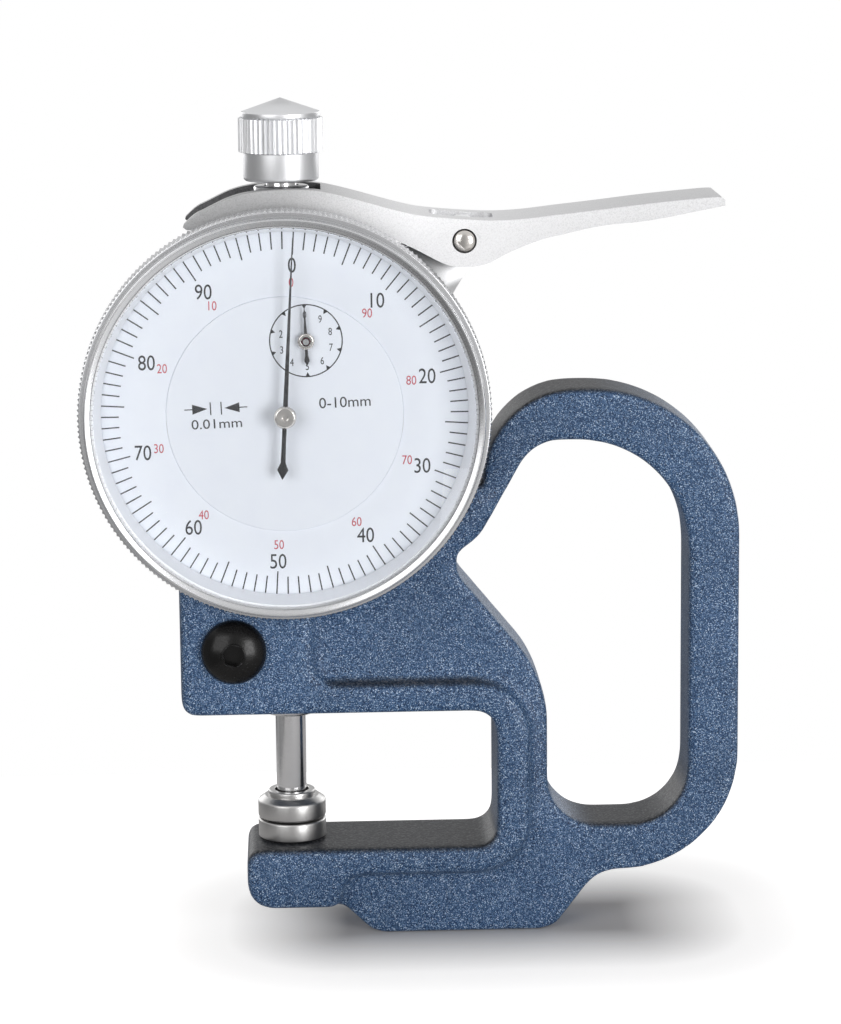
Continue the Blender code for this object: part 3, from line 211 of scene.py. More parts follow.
def use_group(tree, group, place, **value):
    """The outputs of a node group placed in a material."""
    node = tree.nodes.new("ShaderNodeGroup")
    node.node_tree = group
    put(tree, node.inputs["Coordinates"], place)
    for key, number in value.items():
        put(tree, node.inputs[key.replace("_", " ").title()], number)
    return node.outputs


def new_finish(name, **constants):
    """A material's tree, the inputs of its Principled shader, and its Object coordinates."""
    material = bpy.data.materials.new(name)
    material.use_nodes = True
    tree = material.node_tree
    shader = tree.nodes["Principled BSDF"].inputs
    for key, value in constants.items():
        socket = shader[key.replace("_", " ").title().replace("Ior", "IOR")]
        socket.default_value = (*value, 1) if isinstance(value, tuple) else value
    return material, tree, shader, add(tree, "TexCoord").outputs["Object"]


def bump(tree, shader, height, distance, strength=1.0):
    """A bump on the shader's normal."""
    node = add(tree, "Bump", {"Height": height, "Distance": distance * MM, "Strength": strength})
    put(tree, shader["Normal"], node.outputs["Normal"])


def shaded(colour, share):
    """A colour with its brightness changed by a share, and no part over 1."""
    return tuple(min(1.0, value * share) for value in colour)


# ---- finishes
def hammered_paint():
    """Blue hammered paint: dark and pale flecks, with painted shade that turns the walls facing up and
    to the left dark grey.
    """
    material, tree, shader, place = new_finish(
        "hammered_blue_paint", metallic=0.0, roughness=0.45, coat_weight=0.05, coat_roughness=0.4,
        specular_ior_level=0.3)
    fine = use_group(tree, speckle, place, cell_size=0.15 * MM)
    grain = use_group(tree, speckle, place, cell_size=0.34 * MM)
    blue = ramp(tree, fine["Brightness"], [
        (0.08, (0.004, 0.01, 0.03)), (0.34, (0.021, 0.053, 0.124)), (0.55, (0.051, 0.111, 0.232)),
        (0.72, (0.128, 0.228, 0.39)), (0.92, (0.68, 0.8, 0.95))])
    grey = ramp(tree, grain["Brightness"], [
        (0.1, (0.004, 0.006, 0.009)), (0.5, (0.022, 0.026, 0.033)), (0.9, (0.11, 0.11, 0.115))])
    # Painted shade: walls whose normal leans up and to the left get the dark grey instead of the blue.
    painted_shade_direction = (-0.5, 0.0, 0.86)
    painted_shade_lean = add(tree, "VectorMath", {0: add(tree, "NewGeometry").outputs["Normal"], 1: painted_shade_direction},
               operation="DOT_PRODUCT").outputs["Value"]
    colour = mix(tree, spread(tree, painted_shade_lean, 0.3, 0.85), blue, grey)
    shade = spread(tree, clouds(tree, place, 60.0), 0.3, 0.7, 0.88, 1.1)
    mottled = add(tree, "VectorMath", {0: colour, "Scale": shade}, operation="SCALE")
    put(tree, shader["Base Color"], mottled.outputs[0])
    bump(tree, shader, grain["Height"], 0.05, 0.8)
    return material


def blasted_metal(name, colour, roughness, sparkle, cell, painted_shade_by_x=None):
    """Bare metal with a fine blasted grain that glints; an optional list of (x, share) pairs paints
    light and shade along x, the colour multiplied by each share.
    """
    material, tree, shader, place = new_finish(name, metallic=1.0)
    grain = use_group(tree, speckle, place, cell_size=cell * MM)
    tone = ramp(tree, grain["Brightness"], [
        (0.15, shaded(colour, 1 - sparkle)), (0.5, colour), (0.9, shaded(colour, 1 + sparkle / 2))])
    # Painted light and shade: the colour is darkened or lightened along x by the listed shares.
    if painted_shade_by_x:
        start, end = painted_shade_by_x[0][0], painted_shade_by_x[-1][0]
        reach = spread(tree, split(tree, place)["X"], start * MM, end * MM)
        share = ramp(tree, reach, [((x - start) / (end - start), value) for x, value in painted_shade_by_x])
        tone = mix(tree, 1.0, tone, share, "MULTIPLY")
    put(tree, shader["Base Color"], tone)
    put(tree, shader["Roughness"], spread(tree, grain["Brightness"], 0.0, 1.0, roughness + 0.08,
                                          roughness - 0.1))
    bump(tree, shader, grain["Height"], cell / 12, 0.5)
    return material


def turned_metal(name, colour, roughness, axes, ring=0.08, depth=0.004):
    """Metal turned on a lathe, with fine rings about the given axes."""
    material, tree, shader, place = new_finish(name, metallic=1.0, base_color=colour)
    mapped = add(tree, "Mapping", {"Vector": place, "Location": axes.to_translation(),
                                   "Rotation": axes.to_euler()}, vector_type="TEXTURE")
    rings = use_group(tree, turned_rings, mapped.outputs[0], ring_size=ring * MM)["Value"]
    fine = maths(tree, "MULTIPLY", clouds(tree, place, 2500.0), 0.12)
    both = maths(tree, "ADD", rings, fine)
    put(tree, shader["Roughness"], spread(tree, both, 0.3, 0.8, roughness - 0.06, roughness + 0.08))
    bump(tree, shader, both, depth)
    return material


def black_metal(name, colour, roughness):
    """Blackened steel or black enamel, rubbed a little pale on its edges."""
    material, tree, shader, place = new_finish(name, metallic=0.3, coat_weight=0.05,
                                               specular_ior_level=0.35)
    grain = use_group(tree, speckle, place, cell_size=0.25 * MM)
    wear = use_group(tree, edge_wear, place, amount=0.5)
    tone = ramp(tree, grain["Brightness"], [(0.1, shaded(colour, 0.7)), (0.9, shaded(colour, 1.5))])
    put(tree, shader["Base Color"], mix(tree, wear["Mask"], tone, (0.16, 0.16, 0.17)))
    put(tree, shader["Roughness"], spread(tree, grain["Brightness"], 0.0, 1.0, roughness + 0.1,
                                          roughness - 0.08))
    bump(tree, shader, grain["Height"], 0.01, 0.5)
    return material


def smooth_coating(name, colour, roughness, variation):
    """A smooth painted or printed surface with the faintest mottle."""
    material, tree, shader, place = new_finish(name, metallic=0.0, specular_ior_level=0.5)
    cloud = clouds(tree, place, 350.0, 3.0)
    put(tree, shader["Base Color"], ramp(tree, cloud, [
        (0.3, shaded(colour, 1 - variation)), (0.7, shaded(colour, 1 + variation))]))
    put(tree, shader["Roughness"], spread(tree, cloud, 0.0, 1.0, roughness - 0.05, roughness + 0.05))
    bump(tree, shader, clouds(tree, place, 5000.0, 1.0), 0.002, 0.4)
    return material


def clear_glass():
    """The watch glass: clear, with the faintest smears in its polish."""
    material, tree, shader, place = new_finish("clear_glass", metallic=0.0, transmission_weight=1.0,
                                               ior=1.45, base_color=(0.98, 0.99, 1.0))
    smear = clouds(tree, place, 120.0, 4.0)
    put(tree, shader["Roughness"], spread(tree, smear, 0.4, 0.8, 0.0, 0.02))
    path = add(tree, "LightPath").outputs
    passing = maths(tree, "MAXIMUM", path["Is Shadow Ray"], path["Is Diffuse Ray"])
    clear = add(tree, "BsdfTransparent", {"Color": (0.99, 0.995, 1.0, 1)})
    polished_face = tree.nodes["Principled BSDF"].outputs[0]
    both = add(tree, "MixShader", {0: passing, 1: polished_face, 2: clear.outputs[0]})
    put(tree, tree.nodes["Material Output"].inputs["Surface"], both.outputs[0])
    return material


def jewel_red():
    """Synthetic ruby with a little cloud in it."""
    material, tree, shader, place = new_finish("ruby", metallic=0.0, transmission_weight=0.4,
                                               roughness=0.08, ior=1.76)
    put(tree, shader["Base Color"], ramp(tree, clouds(tree, place, 900.0), [
        (0.3, (0.35, 0.01, 0.05)), (0.7, (0.55, 0.03, 0.1))]))
    return material


paint = hammered_paint()
# The lever carries painted shade: darker towards its left end, lightest near its middle.
lever_metal = blasted_metal("satin_blasted_aluminium", (0.85, 0.85, 0.86), 0.52, 0.1, 0.14, [
    (-40, 0.5), (-34, 0.52), (-24, 0.58), (-12, 0.9), (-6, 1.0), (5, 0.92), (26, 0.8), (40, 0.78)])
case_metal = blasted_metal("case_aluminium", (0.93, 0.935, 0.945), 0.5, 0.06, 0.15)
# Painted shade: a dark grey metal for the lever channel's inner walls and roof, standing in for the
# shade inside it.
painted_shade_channel = blasted_metal("painted_shade_in_channel", (0.16, 0.16, 0.165), 0.6, 0.2, 0.3)
# Painted shade: the steel is made near black so that the glass wire reads as the thin dark shadow line
# between the bezel's wall and the glass.
spring_steel_and_painted_shade = blasted_metal("spring_steel_wire", (0.05, 0.05, 0.055), 0.3, 0.1, 0.1)
brass = blasted_metal("movement_brass", (0.72, 0.52, 0.22), 0.3, 0.08, 0.12)
cover_metal = turned_metal("turned_cover", (0.7, 0.71, 0.73), 0.34, dial_axes, 0.2, 0.006)
bezel_metal = turned_metal("satin_chrome_bezel", (0.64, 0.645, 0.66), 0.24, dial_axes)
# Painted light: the bezel's inner wall gets a paler copy of the bezel metal, standing in for light
# that falls on it.
bezel_wall_painted_light = turned_metal("bezel_inner_wall_painted_light", (0.84, 0.845, 0.86), 0.55, dial_axes)
knob_metal = turned_metal("chromed_knob", (0.78, 0.785, 0.8), 0.38, upright_axes, 0.1, 0.006)
steel = turned_metal("ground_steel_round", (0.75, 0.75, 0.76), 0.14, upright_axes, 0.06, 0.002)
button_steel = turned_metal("ground_button_steel", (0.52, 0.515, 0.51), 0.32, upright_axes, 0.1)
polished = turned_metal("polished_nickel", (0.66, 0.63, 0.6), 0.16, dial_axes, 0.06, 0.002)
black_screw = black_metal("black_oxide", (0.006, 0.0058, 0.0058), 0.24)
black_enamel = black_metal("hand_enamel", (0.022, 0.022, 0.024), 0.4)
dial_white = smooth_coating("dial_white", (0.9, 0.93, 1.0), 0.55, 0.012)
print_black = smooth_coating("print_black", (0.02, 0.021, 0.025), 0.6, 0.2)
print_red = smooth_coating("print_red", (0.55, 0.09, 0.12), 0.6, 0.1)
glass = clear_glass()
ruby = jewel_red()


# ---- mesh tools
def moved(work, x=0.0, y=0.0, z=0.0, turn=0.0):
    """The work, turned about its third axis and then moved."""
    matrix = Matrix.Translation((x * MM, y * MM, z * MM)) @ Matrix.Rotation(turn, 4, "Z")
    bmesh.ops.transform(work, matrix=matrix, verts=work.verts)
    return work


def extruded(work, low, high):
    """The work's flat faces given a thickness between two levels."""
    bmesh.ops.translate(work, verts=work.verts, vec=(0, 0, low * MM))
    made = bmesh.ops.extrude_face_region(work, geom=list(work.faces))
    top = [item for item in made["geom"] if isinstance(item, bmesh.types.BMVert)]
    bmesh.ops.translate(work, verts=top, vec=(0, 0, (high - low) * MM))
    bmesh.ops.recalc_face_normals(work, faces=work.faces)
    return work


def bevelled(work, items, width, kind, segments, **more):
    """Corners or edges rounded by one bevel."""
    bmesh.ops.bevel(work, geom=items, offset=width, offset_type="OFFSET", affect=kind,
                    segments=segments, profile=0.5, material=-1, **more)


def plate(corners, low, high):
    """A plate whose outline has (x, y, radius) corners, each rounded by a vertex bevel."""
    work = bmesh.new()
    verts = [work.verts.new((x * MM, y * MM, 0)) for x, y, _ in corners]
    work.faces.new(verts)
    for vert, (_, _, radius) in zip(verts, corners):
        if radius > 0:
            arms = [edge.other_vert(vert).co - vert.co for edge in vert.link_edges]
            opening = arms[0].angle(arms[1])
            offset = min(radius * MM / math.tan(opening / 2),
                         0.999 * min(arm.length for arm in arms))
            sagitta = 0.015
            step = 2 * math.acos(1 - min(0.5, sagitta / radius))
            segments = max(2, math.ceil((math.pi - opening) / step))
            bevelled(work, [vert], offset, "VERTICES", segments)
    return extruded(work, low, high)


def polygon(points, low, high):
    """A solid with a many-sided outline."""
    work = bmesh.new()
    work.faces.new([work.verts.new((x * MM, y * MM, 0)) for x, y in points])
    return extruded(work, low, high)


def block(sizes, place):
    """A plain block with its middle at a place."""
    work = bmesh.new()
    bmesh.ops.create_cube(work, size=1)
    bmesh.ops.scale(work, vec=[size * MM for size in sizes], verts=work.verts)
    return moved(work, *place)


def soften(work, chosen, width, segments):
    """Rounds the edges whose two ends are chosen, where its faces meet at an angle."""
    edges = [item for item in work.edges if len(item.link_faces) == 2
             and item.calc_face_angle(0) > math.radians(40)
             and chosen(item.verts[0].co, item.verts[1].co)]
    bevelled(work, edges, width * MM, "EDGES", segments, clamp_overlap=True)


def clean(work):
    """The work with its seams closed and its faces pointing outwards."""
    bmesh.ops.remove_doubles(work, verts=work.verts, dist=MM / 10000)
    bmesh.ops.recalc_face_normals(work, faces=work.faces)
    return work


def spun(profile, steps=128, closed=False):
    """A turned form. The profile lists (radius, height, rounding) from top to bottom."""
    work = bmesh.new()
    verts = [work.verts.new((item[0] * MM, 0, item[1] * MM)) for item in profile]
    for first, second in zip(verts, verts[1:]):
        work.edges.new((first, second))
    if closed:
        work.edges.new((verts[-1], verts[0]))
    for vert, item in zip(verts, profile):
        if len(item) > 2 and item[2] > 0:
            bevelled(work, [vert], item[2] * MM, "VERTICES", 4)
    bmesh.ops.spin(work, geom=list(work.verts) + list(work.edges), cent=(0, 0, 0), axis=(0, 0, 1),
                   dvec=(0, 0, 0), angle=math.tau, steps=steps, use_merge=True, use_duplicate=False)
    return clean(work)


def bar(radius, low, high, edge=0.0, steps=96):
    """A plain round bar with eased ends."""
    return spun([(0, high), (radius, high, edge), (radius, low, edge), (0, low)], steps)


def ring_disc(inner, outer, low, high, edge=0.0, steps=256):
    """A flat ring with eased edges."""
    return spun([(inner, high, edge), (outer, high, edge), (outer, low), (inner, low)], steps, True)


def knurled(work, low, high, radius, depth, count, power):
    """Cuts straight knurls into the rows of a turned form that lie in a band of heights."""
    for vert in work.verts:
        reach = math.hypot(vert.co.x, vert.co.y) / MM
        if low < vert.co.z / MM < high and reach > radius - depth / 2:
            phase = math.atan2(vert.co.y, vert.co.x) * count
            share = 1 - depth * (0.5 - 0.5 * math.cos(phase)) ** power / reach
            vert.co.x *= share
            vert.co.y *= share


def joined(parts):
    """Several works in one."""
    whole = bmesh.new()
    for part in parts:
        mesh = bpy.data.meshes.new("part")
        part.to_mesh(mesh)
        part.free()
        whole.from_mesh(mesh)
        bpy.data.meshes.remove(mesh)
    return whole


def as_object(name, work, axes=Matrix.Identity(4)):
    """An object at the origin whose mesh lies in place."""
    mesh = bpy.data.meshes.new(name)
    work.to_mesh(mesh)
    work.free()
    mesh.transform(axes)
    thing = bpy.data.objects.new(name, mesh)
    bpy.context.scene.collection.objects.link(thing)
    return thing


def evaluated_mesh(thing, name):
    """The mesh that an object's modifiers make."""
    bpy.context.view_layer.update()
    graph = bpy.context.evaluated_depsgraph_get()
    mesh = bpy.data.meshes.new_from_object(thing.evaluated_get(graph))
    mesh.name = name
    return mesh


def cut(thing, work, axes, operation="DIFFERENCE"):
    """The thing with a form cut away from it or joined to it, worked out at once."""
    tool = as_object("tool", work, axes)
    step = thing.modifiers.new("cut", "BOOLEAN")
    step.operation = operation
    step.solver = "EXACT"
    step.object = tool
    mesh = evaluated_mesh(thing, thing.name)
    thing.modifiers.clear()
    old = thing.data
    thing.data = mesh
    bpy.data.meshes.remove(old)
    bpy.data.objects.remove(tool)


def piece(name, work, axes, material, body, node=None, sharp=32):
    """A finished piece: shaded, coloured, riding on its body and standing for its node."""
    thing = work if isinstance(work, bpy.types.Object) else as_object(name, work, axes)
    mesh = thing.data
    mesh.materials.clear()
    mesh.materials.append(material)
    mesh.polygons.foreach_set("material_index", [0] * len(mesh.polygons))
    mesh.polygons.foreach_set("use_smooth", [True] * len(mesh.polygons))
    mesh.set_sharp_from_angle(angle=math.radians(sharp))
    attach(thing, body)
    if node:
        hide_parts(node)
    return thing


# ---- the casting, with its places in the side view
pocket_radius = 27.3
pocket_inside = pocket_radius - 1.6
notch_angle = -43.4
arm_bottom = arm_top - 9
arm_end, arm_root = -6.7, 7.2
block_end, block_right = -15.8, 3.5
throat_top = arm_top + 20.35
throat_end, rim_end = 30, 34.9
rim_height = 4.45
foot_left, foot_right = 11.8, 38.3
loop_foot, loop_right, loop_top = 8.8, 65.7, dial_z + 2.2
hole_left, hole_right, hole_low = 37.6, 58.2, 15.97
rim_half = extent("frame", 1)[1]
web_half = rim_half - 2.25
cradle_half = web_half + 0.7


def from_dial(radius, angle):
    """A place in the side view at an angle in degrees about the dial's middle."""
    turn = math.radians(angle)
    return radius * math.cos(turn), dial_z + radius * math.sin(turn)


def cradle_outline(crown, root, notch):
    """The cradle that carries the case, and the neck that leads from it into the handle."""
    strip = pocket_radius + 3.7
    start = -90 - math.degrees(math.asin(14.7 / strip))
    end = notch_angle - math.degrees(4.5 / strip)
    steps = 24
    arc = [from_dial(strip, start + (end - start) * index / steps) for index in range(steps + 1)]
    neck_z = dial_z - 12.9
    neck_inset = 1.65
    along = (neck_z - root[1]) / (crown[1] - root[1])
    neck = [notch, root, (root[0] + (crown[0] - root[0]) * along, neck_z)]
    return [(x, z, 0) for x, z in [
        *arc, *[(x - neck_inset, z) for x, z in neck], (pocket_radius + 0.6, neck_z),
        from_dial(pocket_radius - 2, -21.7)]]


def build_frame():
    """The casting: web, rim and cradle joined, pocketed and bored, then softened as cast."""
    crown = (pocket_radius + 8.4, loop_top - 7.2)
    root = from_dial(pocket_radius + 6.6, -34.6)
    notch = from_dial(pocket_radius + 4.5, notch_angle)
    valley = notch[0] + 1.3
    web_end = 32.45
    web = as_object("casting_form", plate([
        (0, arm_bottom, 0), (arm_root, arm_bottom, 0), (foot_left, 0, 3), (foot_right, 0, 3),
        (45, loop_foot, 5), (loop_right, loop_foot, 17.6), (loop_right, loop_top, 22),
        (pocket_radius + 1.2, loop_top, 13), (pocket_radius + 1.2, dial_z - 11.7, 0),
        (*from_dial(pocket_inside, -27.1), 0), (*from_dial(pocket_inside, notch_angle), 0),
        (0, dial_z - pocket_inside, 0), (0, throat_top + 2, 0), (web_end, throat_top + 2, 0),
        (web_end, arm_top - 2, 0), (0, arm_top - 2, 0)], -web_half, web_half), side_axes)
    opening = plate([
        (hole_left, hole_low, 7.07), (hole_right, hole_low, 8.5), (hole_right, crown[1] - 0.38, 16.2),
        (crown[0], crown[1] - 0.38, 5.8), (*root, 6), (valley, notch[1], 1.2),
        (valley + 0.2, notch[1] - 2.9, 1.2), (hole_left, throat_top + 4.3, 17)],
        -2 * web_half, 2 * web_half)
    rim = plate([
        (arm_end, arm_top, 1.6), (throat_end, arm_top, 3), (throat_end, throat_top, 3),
        (block_end, throat_top, 2), (block_end, dial_z - 12, 0), (block_right, dial_z - 19.9, 0),
        (block_right, throat_top + rim_height, 3), (rim_end, throat_top + rim_height, 8),
        (rim_end, arm_top - 4, 8), (arm_root, arm_top - 4, 3), (arm_root, arm_bottom, 1.6),
        (arm_end, arm_bottom, 3.6)], -rim_half, rim_half)
    cut(web, opening, side_axes)
    cut(web, rim, side_axes, "UNION")
    cut(web, plate(cradle_outline(crown, root, notch), -cradle_half, cradle_half), side_axes, "UNION")
    cut(web, bar(pocket_radius, -15, 15, steps=200), dial_axes)
    stem_bore = 4.3
    clamp_slit = (18, 1.2, 30)
    cut(web, bar(stem_bore, throat_top - 2, dial_z, steps=64), upright_axes)
    cut(web, block(clamp_slit, (-9, 0, throat_top + 13)), upright_axes)
    remesh = web.modifiers.new("cast", "REMESH")
    remesh.mode = "VOXEL"
    cast_grain = 0.46
    cast_rounds = 14
    remesh.voxel_size = cast_grain * MM
    mesh = evaluated_mesh(web, "casting")
    bpy.data.objects.remove(web)
    work = bmesh.new()
    work.from_mesh(mesh)
    bpy.data.meshes.remove(mesh)
    for _ in range(cast_rounds):
        bmesh.ops.smooth_vert(work, verts=work.verts, factor=0.5, use_axis_x=True, use_axis_y=True,
                              use_axis_z=True)
    casting = as_object("casting", work)
    hole = 2.8
    cut(casting, bar(hole, arm_top - 5.8, arm_top + 2, steps=64), upright_axes)
    cut(casting, bar(hole, -12, 12, steps=64), screw_axes)
    piece("casting", casting, None, paint, "gauge_body", "frame", 50)


# ---- anvil, stem, contact and spindle
def build_measuring_pieces():
    """The anvil, the stem and the contact, all ground round."""
    bottom = arm_top - 5.5
    piece("anvil_button", spun([
        (0, contact_z), (5, contact_z, 0.28), (5, arm_top + 0.3, 0.15), (2.5, arm_top + 0.3),
        (2.5, bottom, 0.3), (0, bottom)]),
        upright_axes, button_steel, "gauge_body", "anvil")
    low, top = extent("contact_tip", 2)
    travel = 10.05
    end, high = extent("stem", 2)
    end = max(end - 0.45, top + travel)
    piece("stem_tube", spun([(2.5, high), (4, high), (4, end, 0.55), (2.5, end)], closed=True),
          upright_axes, steel, "gauge_body", "stem")
    socket = top - 3
    piece("contact_button", spun([
        (0, socket), (2.5, socket), (2.5, top, 0.1), (3.45, top, 0.25), (3.45, top - 0.8),
        (3.95, top - 0.8, 0.1), (5, low + 2.45, 0.2), (5, low, 0.28), (0, low)]),
        upright_axes, button_steel, "spindle_body", "contact_tip")


def build_spindle():
    """The spindle, with the rack cut in its left side."""
    rod = as_object("spindle_rod", bar(2.2, *extent("spindle", 2), 0.2, 72), upright_axes)
    pitch = 10 / 16     # a turn of the sixteen-tooth pinion is 10 mm of travel
    pinion_z = dial_z - 10.395
    first = pinion_z - 18.5 * pitch
    flank = [(-4, 0.5), (-1.7, 0.4), (-1.25, 0.12)]
    gaps = 22
    for index in range(gaps):
        height = first + index * pitch
        gap = [(x, height - share * pitch) for x, share in flank]
        gap += [(x, height + share * pitch) for x, share in reversed(flank)]
        cut(rod, polygon(gap, -3, 3), side_axes)
    piece("spindle_rod", rod, None, steel, "spindle_body", "spindle")


def build_knob():
    """The lifting knob: a sleeve, a knurled grip with plain ends and a low cone."""
    base, tip = extent("lift_knob", 2)
    grip = base + 4.1
    rim = grip + 4.9
    radius = 6.05
    rows = 7
    band = [(radius, grip + (rim - grip) * (0.985 - 0.97 * index / (rows - 1)))
            for index in range(rows)]
    work = spun([
        (0, tip), (5.7, tip - 2, 0.12), (5.7, rim + 0.12, 0.1), (5.55, rim + 0.02), *band,
        (5.55, grip - 0.05), (5.4, grip - 0.1), (5.4, base, 0.5), (2.5, base), (2.5, base + 8),
        (0, base + 8)], steps=384)
    knurled(work, grip, rim, radius, depth=0.42, count=48, power=1.3)
    piece("knob", work, upright_axes, knob_metal, "spindle_body", "lift_knob", 35)


# ---- bush and screws
def build_bush_and_cover_screws():
    """The bush over the case, and the rear cover's four screws, each slot turned its own way."""
    low, high = extent("upper_bush", 2)
    piece("bush", spun([(2.5, high), (4, high, 0.4), (4, low), (2.5, low)], closed=True),
          upright_axes, steel, "gauge_body", "upper_bush")
    back = levels("rear_cover")[0]
    for number in range(1, 5):
        node = f"rear_cover_screw_{number}"
        axes = facing(middle(node, 0), middle(node, 2))
        screw = as_object(f"cover_screw_{number}", spun([
            (0, back + 4), (0.75, back + 4, 0.2), (0.75, back + 0.8), (1.5, back + 0.08, 0.06),
            (1.4, back, 0.03), (0, back)], 48), axes)
        cut(screw, moved(block((4, 0.35, 0.8), (0, 0, 0)), z=back, turn=0.7 * number), axes)
        piece(f"cover_screw_{number}", screw, None, polished, "gauge_body", node)


def build_clamp_screw():
    """The black button-head screw with its hexagon socket."""
    end, head = levels("clamp_screw")
    dome_height = 2.7
    seat = head - dome_height
    angles = [math.radians(angle) for angle in range(68, 5, -6)]
    dome = [(4.75 * math.cos(angle), seat + dome_height * math.sin(angle)) for angle in angles]
    screw = as_object("clamp_bolt", spun([
        (0, head), (1.75, head, 0.12), *dome, (4.75, seat, 0.1), (2.5, seat), (2.5, end, 0.3),
        (0, end)], 120), screw_axes)
    hexagon = bmesh.new()
    across_flats = 3 * MM
    bmesh.ops.create_circle(hexagon, cap_ends=True, segments=6,
                            radius=across_flats / 2 / math.cos(math.pi / 6))
    cut(screw, moved(extruded(hexagon, head - 1.5, head + 1), turn=math.radians(14)), screw_axes)
    piece("clamp_bolt", screw, None, black_screw, "gauge_body", "clamp_screw")


# ---- bezel and glass
bezel_back, bezel_front = levels("bezel")
glass_low, glass_top = levels("crystal")
ring_low, ring_top = levels("scale_ring")
disc_low, disc_top = levels("dial_disc")


def build_bezel():
    """The turning bezel: a knurled flange, a narrower front and a sloping inner wall."""
    outer = 29.3
    body = 28.3
    bore = 27.3
    flange = bezel_back + 5.5
    rows = 5
    knurl_height = flange - bezel_back - 0.8
    band = [(outer, flange - 0.25 - knurl_height * index / (rows - 1)) for index in range(rows)]
    work = spun([
        (bore + 0.08, bezel_front - 0.3, 0.03), (27.9, bezel_front - 0.06, 0.04),
        (28.15, bezel_front, 0.06), (body, bezel_front - 0.25, 0.08), (body, flange + 0.25),
        (body - 0.15, flange + 0.12), (body - 0.15, flange + 0.02), (outer - 0.3, flange, 0.05),
        *band, (outer - 0.3, bezel_back + 0.3), (body, bezel_back, 0.1), (bore + 0.02, bezel_back),
        (bore + 0.02, ring_top + 0.15), (25.75, ring_top + 0.15), (25.7, ring_top + 0.25),
        (26.85, glass_low - 0.1), (bore, glass_low - 0.1), (bore, bezel_front - 0.4)],
        steps=960, closed=True)
    work.faces.index_update()
    knurled(work, bezel_back + 0.35, flange - 0.1, outer, depth=0.26, count=240, power=0.8)
    # Painted light: the faces of the sloping inner wall are picked out for the paler copy of the
    # metal.
    wall = []
    for face in work.faces:
        centre = face.calc_center_median() / MM
        if ring_top < centre.z < glass_low and math.hypot(centre.x, centre.y) < 27.1:
            wall.append(face.index)
    ring = piece("bezel_ring", work, dial_axes, bezel_metal, "bezel_body",
                 "bezel", 35)
    ring.data.materials.append(bezel_wall_painted_light)
    for index in wall:
        ring.data.polygons[index].material_index = 1


def build_glass():
    """The flat glass and the sprung wire that holds it, with the gap between its ends."""
    piece("watch_glass", spun([
        (0, glass_top), (27, glass_top, 0.15), (27, glass_low, 0.1), (0, glass_low)], 256),
        dial_axes, glass, "bezel_body", "crystal")
    wire_level = levels("crystal_snap_ring")[0] + 0.2
    wire_radius, ring_radius = 0.18, 27.1
    gap = math.radians(3.2)
    work = bmesh.new()
    bmesh.ops.create_circle(work, cap_ends=True, segments=12, radius=wire_radius * MM)
    bmesh.ops.transform(work, matrix=facing(ring_radius, wire_level), verts=work.verts)
    bmesh.ops.spin(work, geom=list(work.faces) + list(work.edges) + list(work.verts), cent=(0, 0, 0),
                   axis=(0, 0, 1), dvec=(0, 0, 0), angle=math.tau - gap, steps=240,
                   use_merge=False, use_duplicate=True)
    moved(clean(work), turn=math.radians(-93) + gap / 2)
    # Painted shade: the wire's near-black steel stands in for the dark line of shade at the glass's
    # edge.
    piece("glass_wire", work, dial_axes, spring_steel_and_painted_shade, "bezel_body",
          "crystal_snap_ring")


# ---- dial
disc_radius = 16.6
scale_turn = math.radians(-3.56)
disc_turn = math.radians(2.2)
pointer_turn = math.radians(-3.35)
print_height = 0.02


def build_dial():
    """The scale ring, which turns with the bezel, and the fixed disc inside it."""
    ring = ring_disc(disc_radius + 0.02, 27, ring_low, ring_top, 0.05)
    piece("dial_scale_ring", ring, dial_axes, dial_white, "bezel_body",
          "scale_ring")
    disc = as_object("dial_centre_disc", spun([
        (0, disc_top), (disc_radius, disc_top, 0.12), (disc_radius, disc_low), (0, disc_low)], 256),
        dial_axes)
    for x, y in ((0, 0), (counter_x, counter_y)):
        cut(disc, moved(bar(1, disc_low - 1, disc_top + 1), x, y), dial_axes)
    piece("dial_centre_disc", disc, None, dial_white, "gauge_body", "dial_disc")


def printed(name, works, level, material, body, x=0.0, y=0.0, turn=0.0):
    """Printed shapes, laid on the dial."""
    work = moved(joined(works), x, y, level + print_height / 2, turn)
    piece(name, work, dial_axes, material, body)


def lettering(text, height, x, y, squeeze=0.8, width=None):
    """Printed figures, set centred on a place and pressed as thin solid letters."""
    curve = bpy.data.curves.new("figures", "FONT")
    curve.body = text
    curve.align_x = "CENTER"
    curve.align_y = "CENTER"
    curve.resolution_u = 4
    half_depth = 0.01
    curve.extrude = half_depth
    letters = bpy.data.objects.new("figures", curve)
    bpy.context.scene.collection.objects.link(letters)
    mesh = evaluated_mesh(letters, "figures")
    bpy.data.objects.remove(letters)
    bpy.data.curves.remove(curve)
    work = bmesh.new()
    work.from_mesh(mesh)
    bpy.data.meshes.remove(mesh)
    bmesh.ops.remove_doubles(work, verts=work.verts, dist=0.0001)
    sides = [vert.co.x for vert in work.verts]
    tops = [vert.co.y for vert in work.verts]
    scale = height * MM / (max(tops) - min(tops))
    across = width * MM / (max(sides) - min(sides)) if width else scale * squeeze
    centre = (-(max(sides) + min(sides)) / 2, -(max(tops) + min(tops)) / 2, 0)
    bmesh.ops.translate(work, vec=centre, verts=work.verts)
    bmesh.ops.scale(work, vec=(across, scale, print_height * MM / (2 * half_depth)), verts=work.verts)
    return moved(work, x, y)


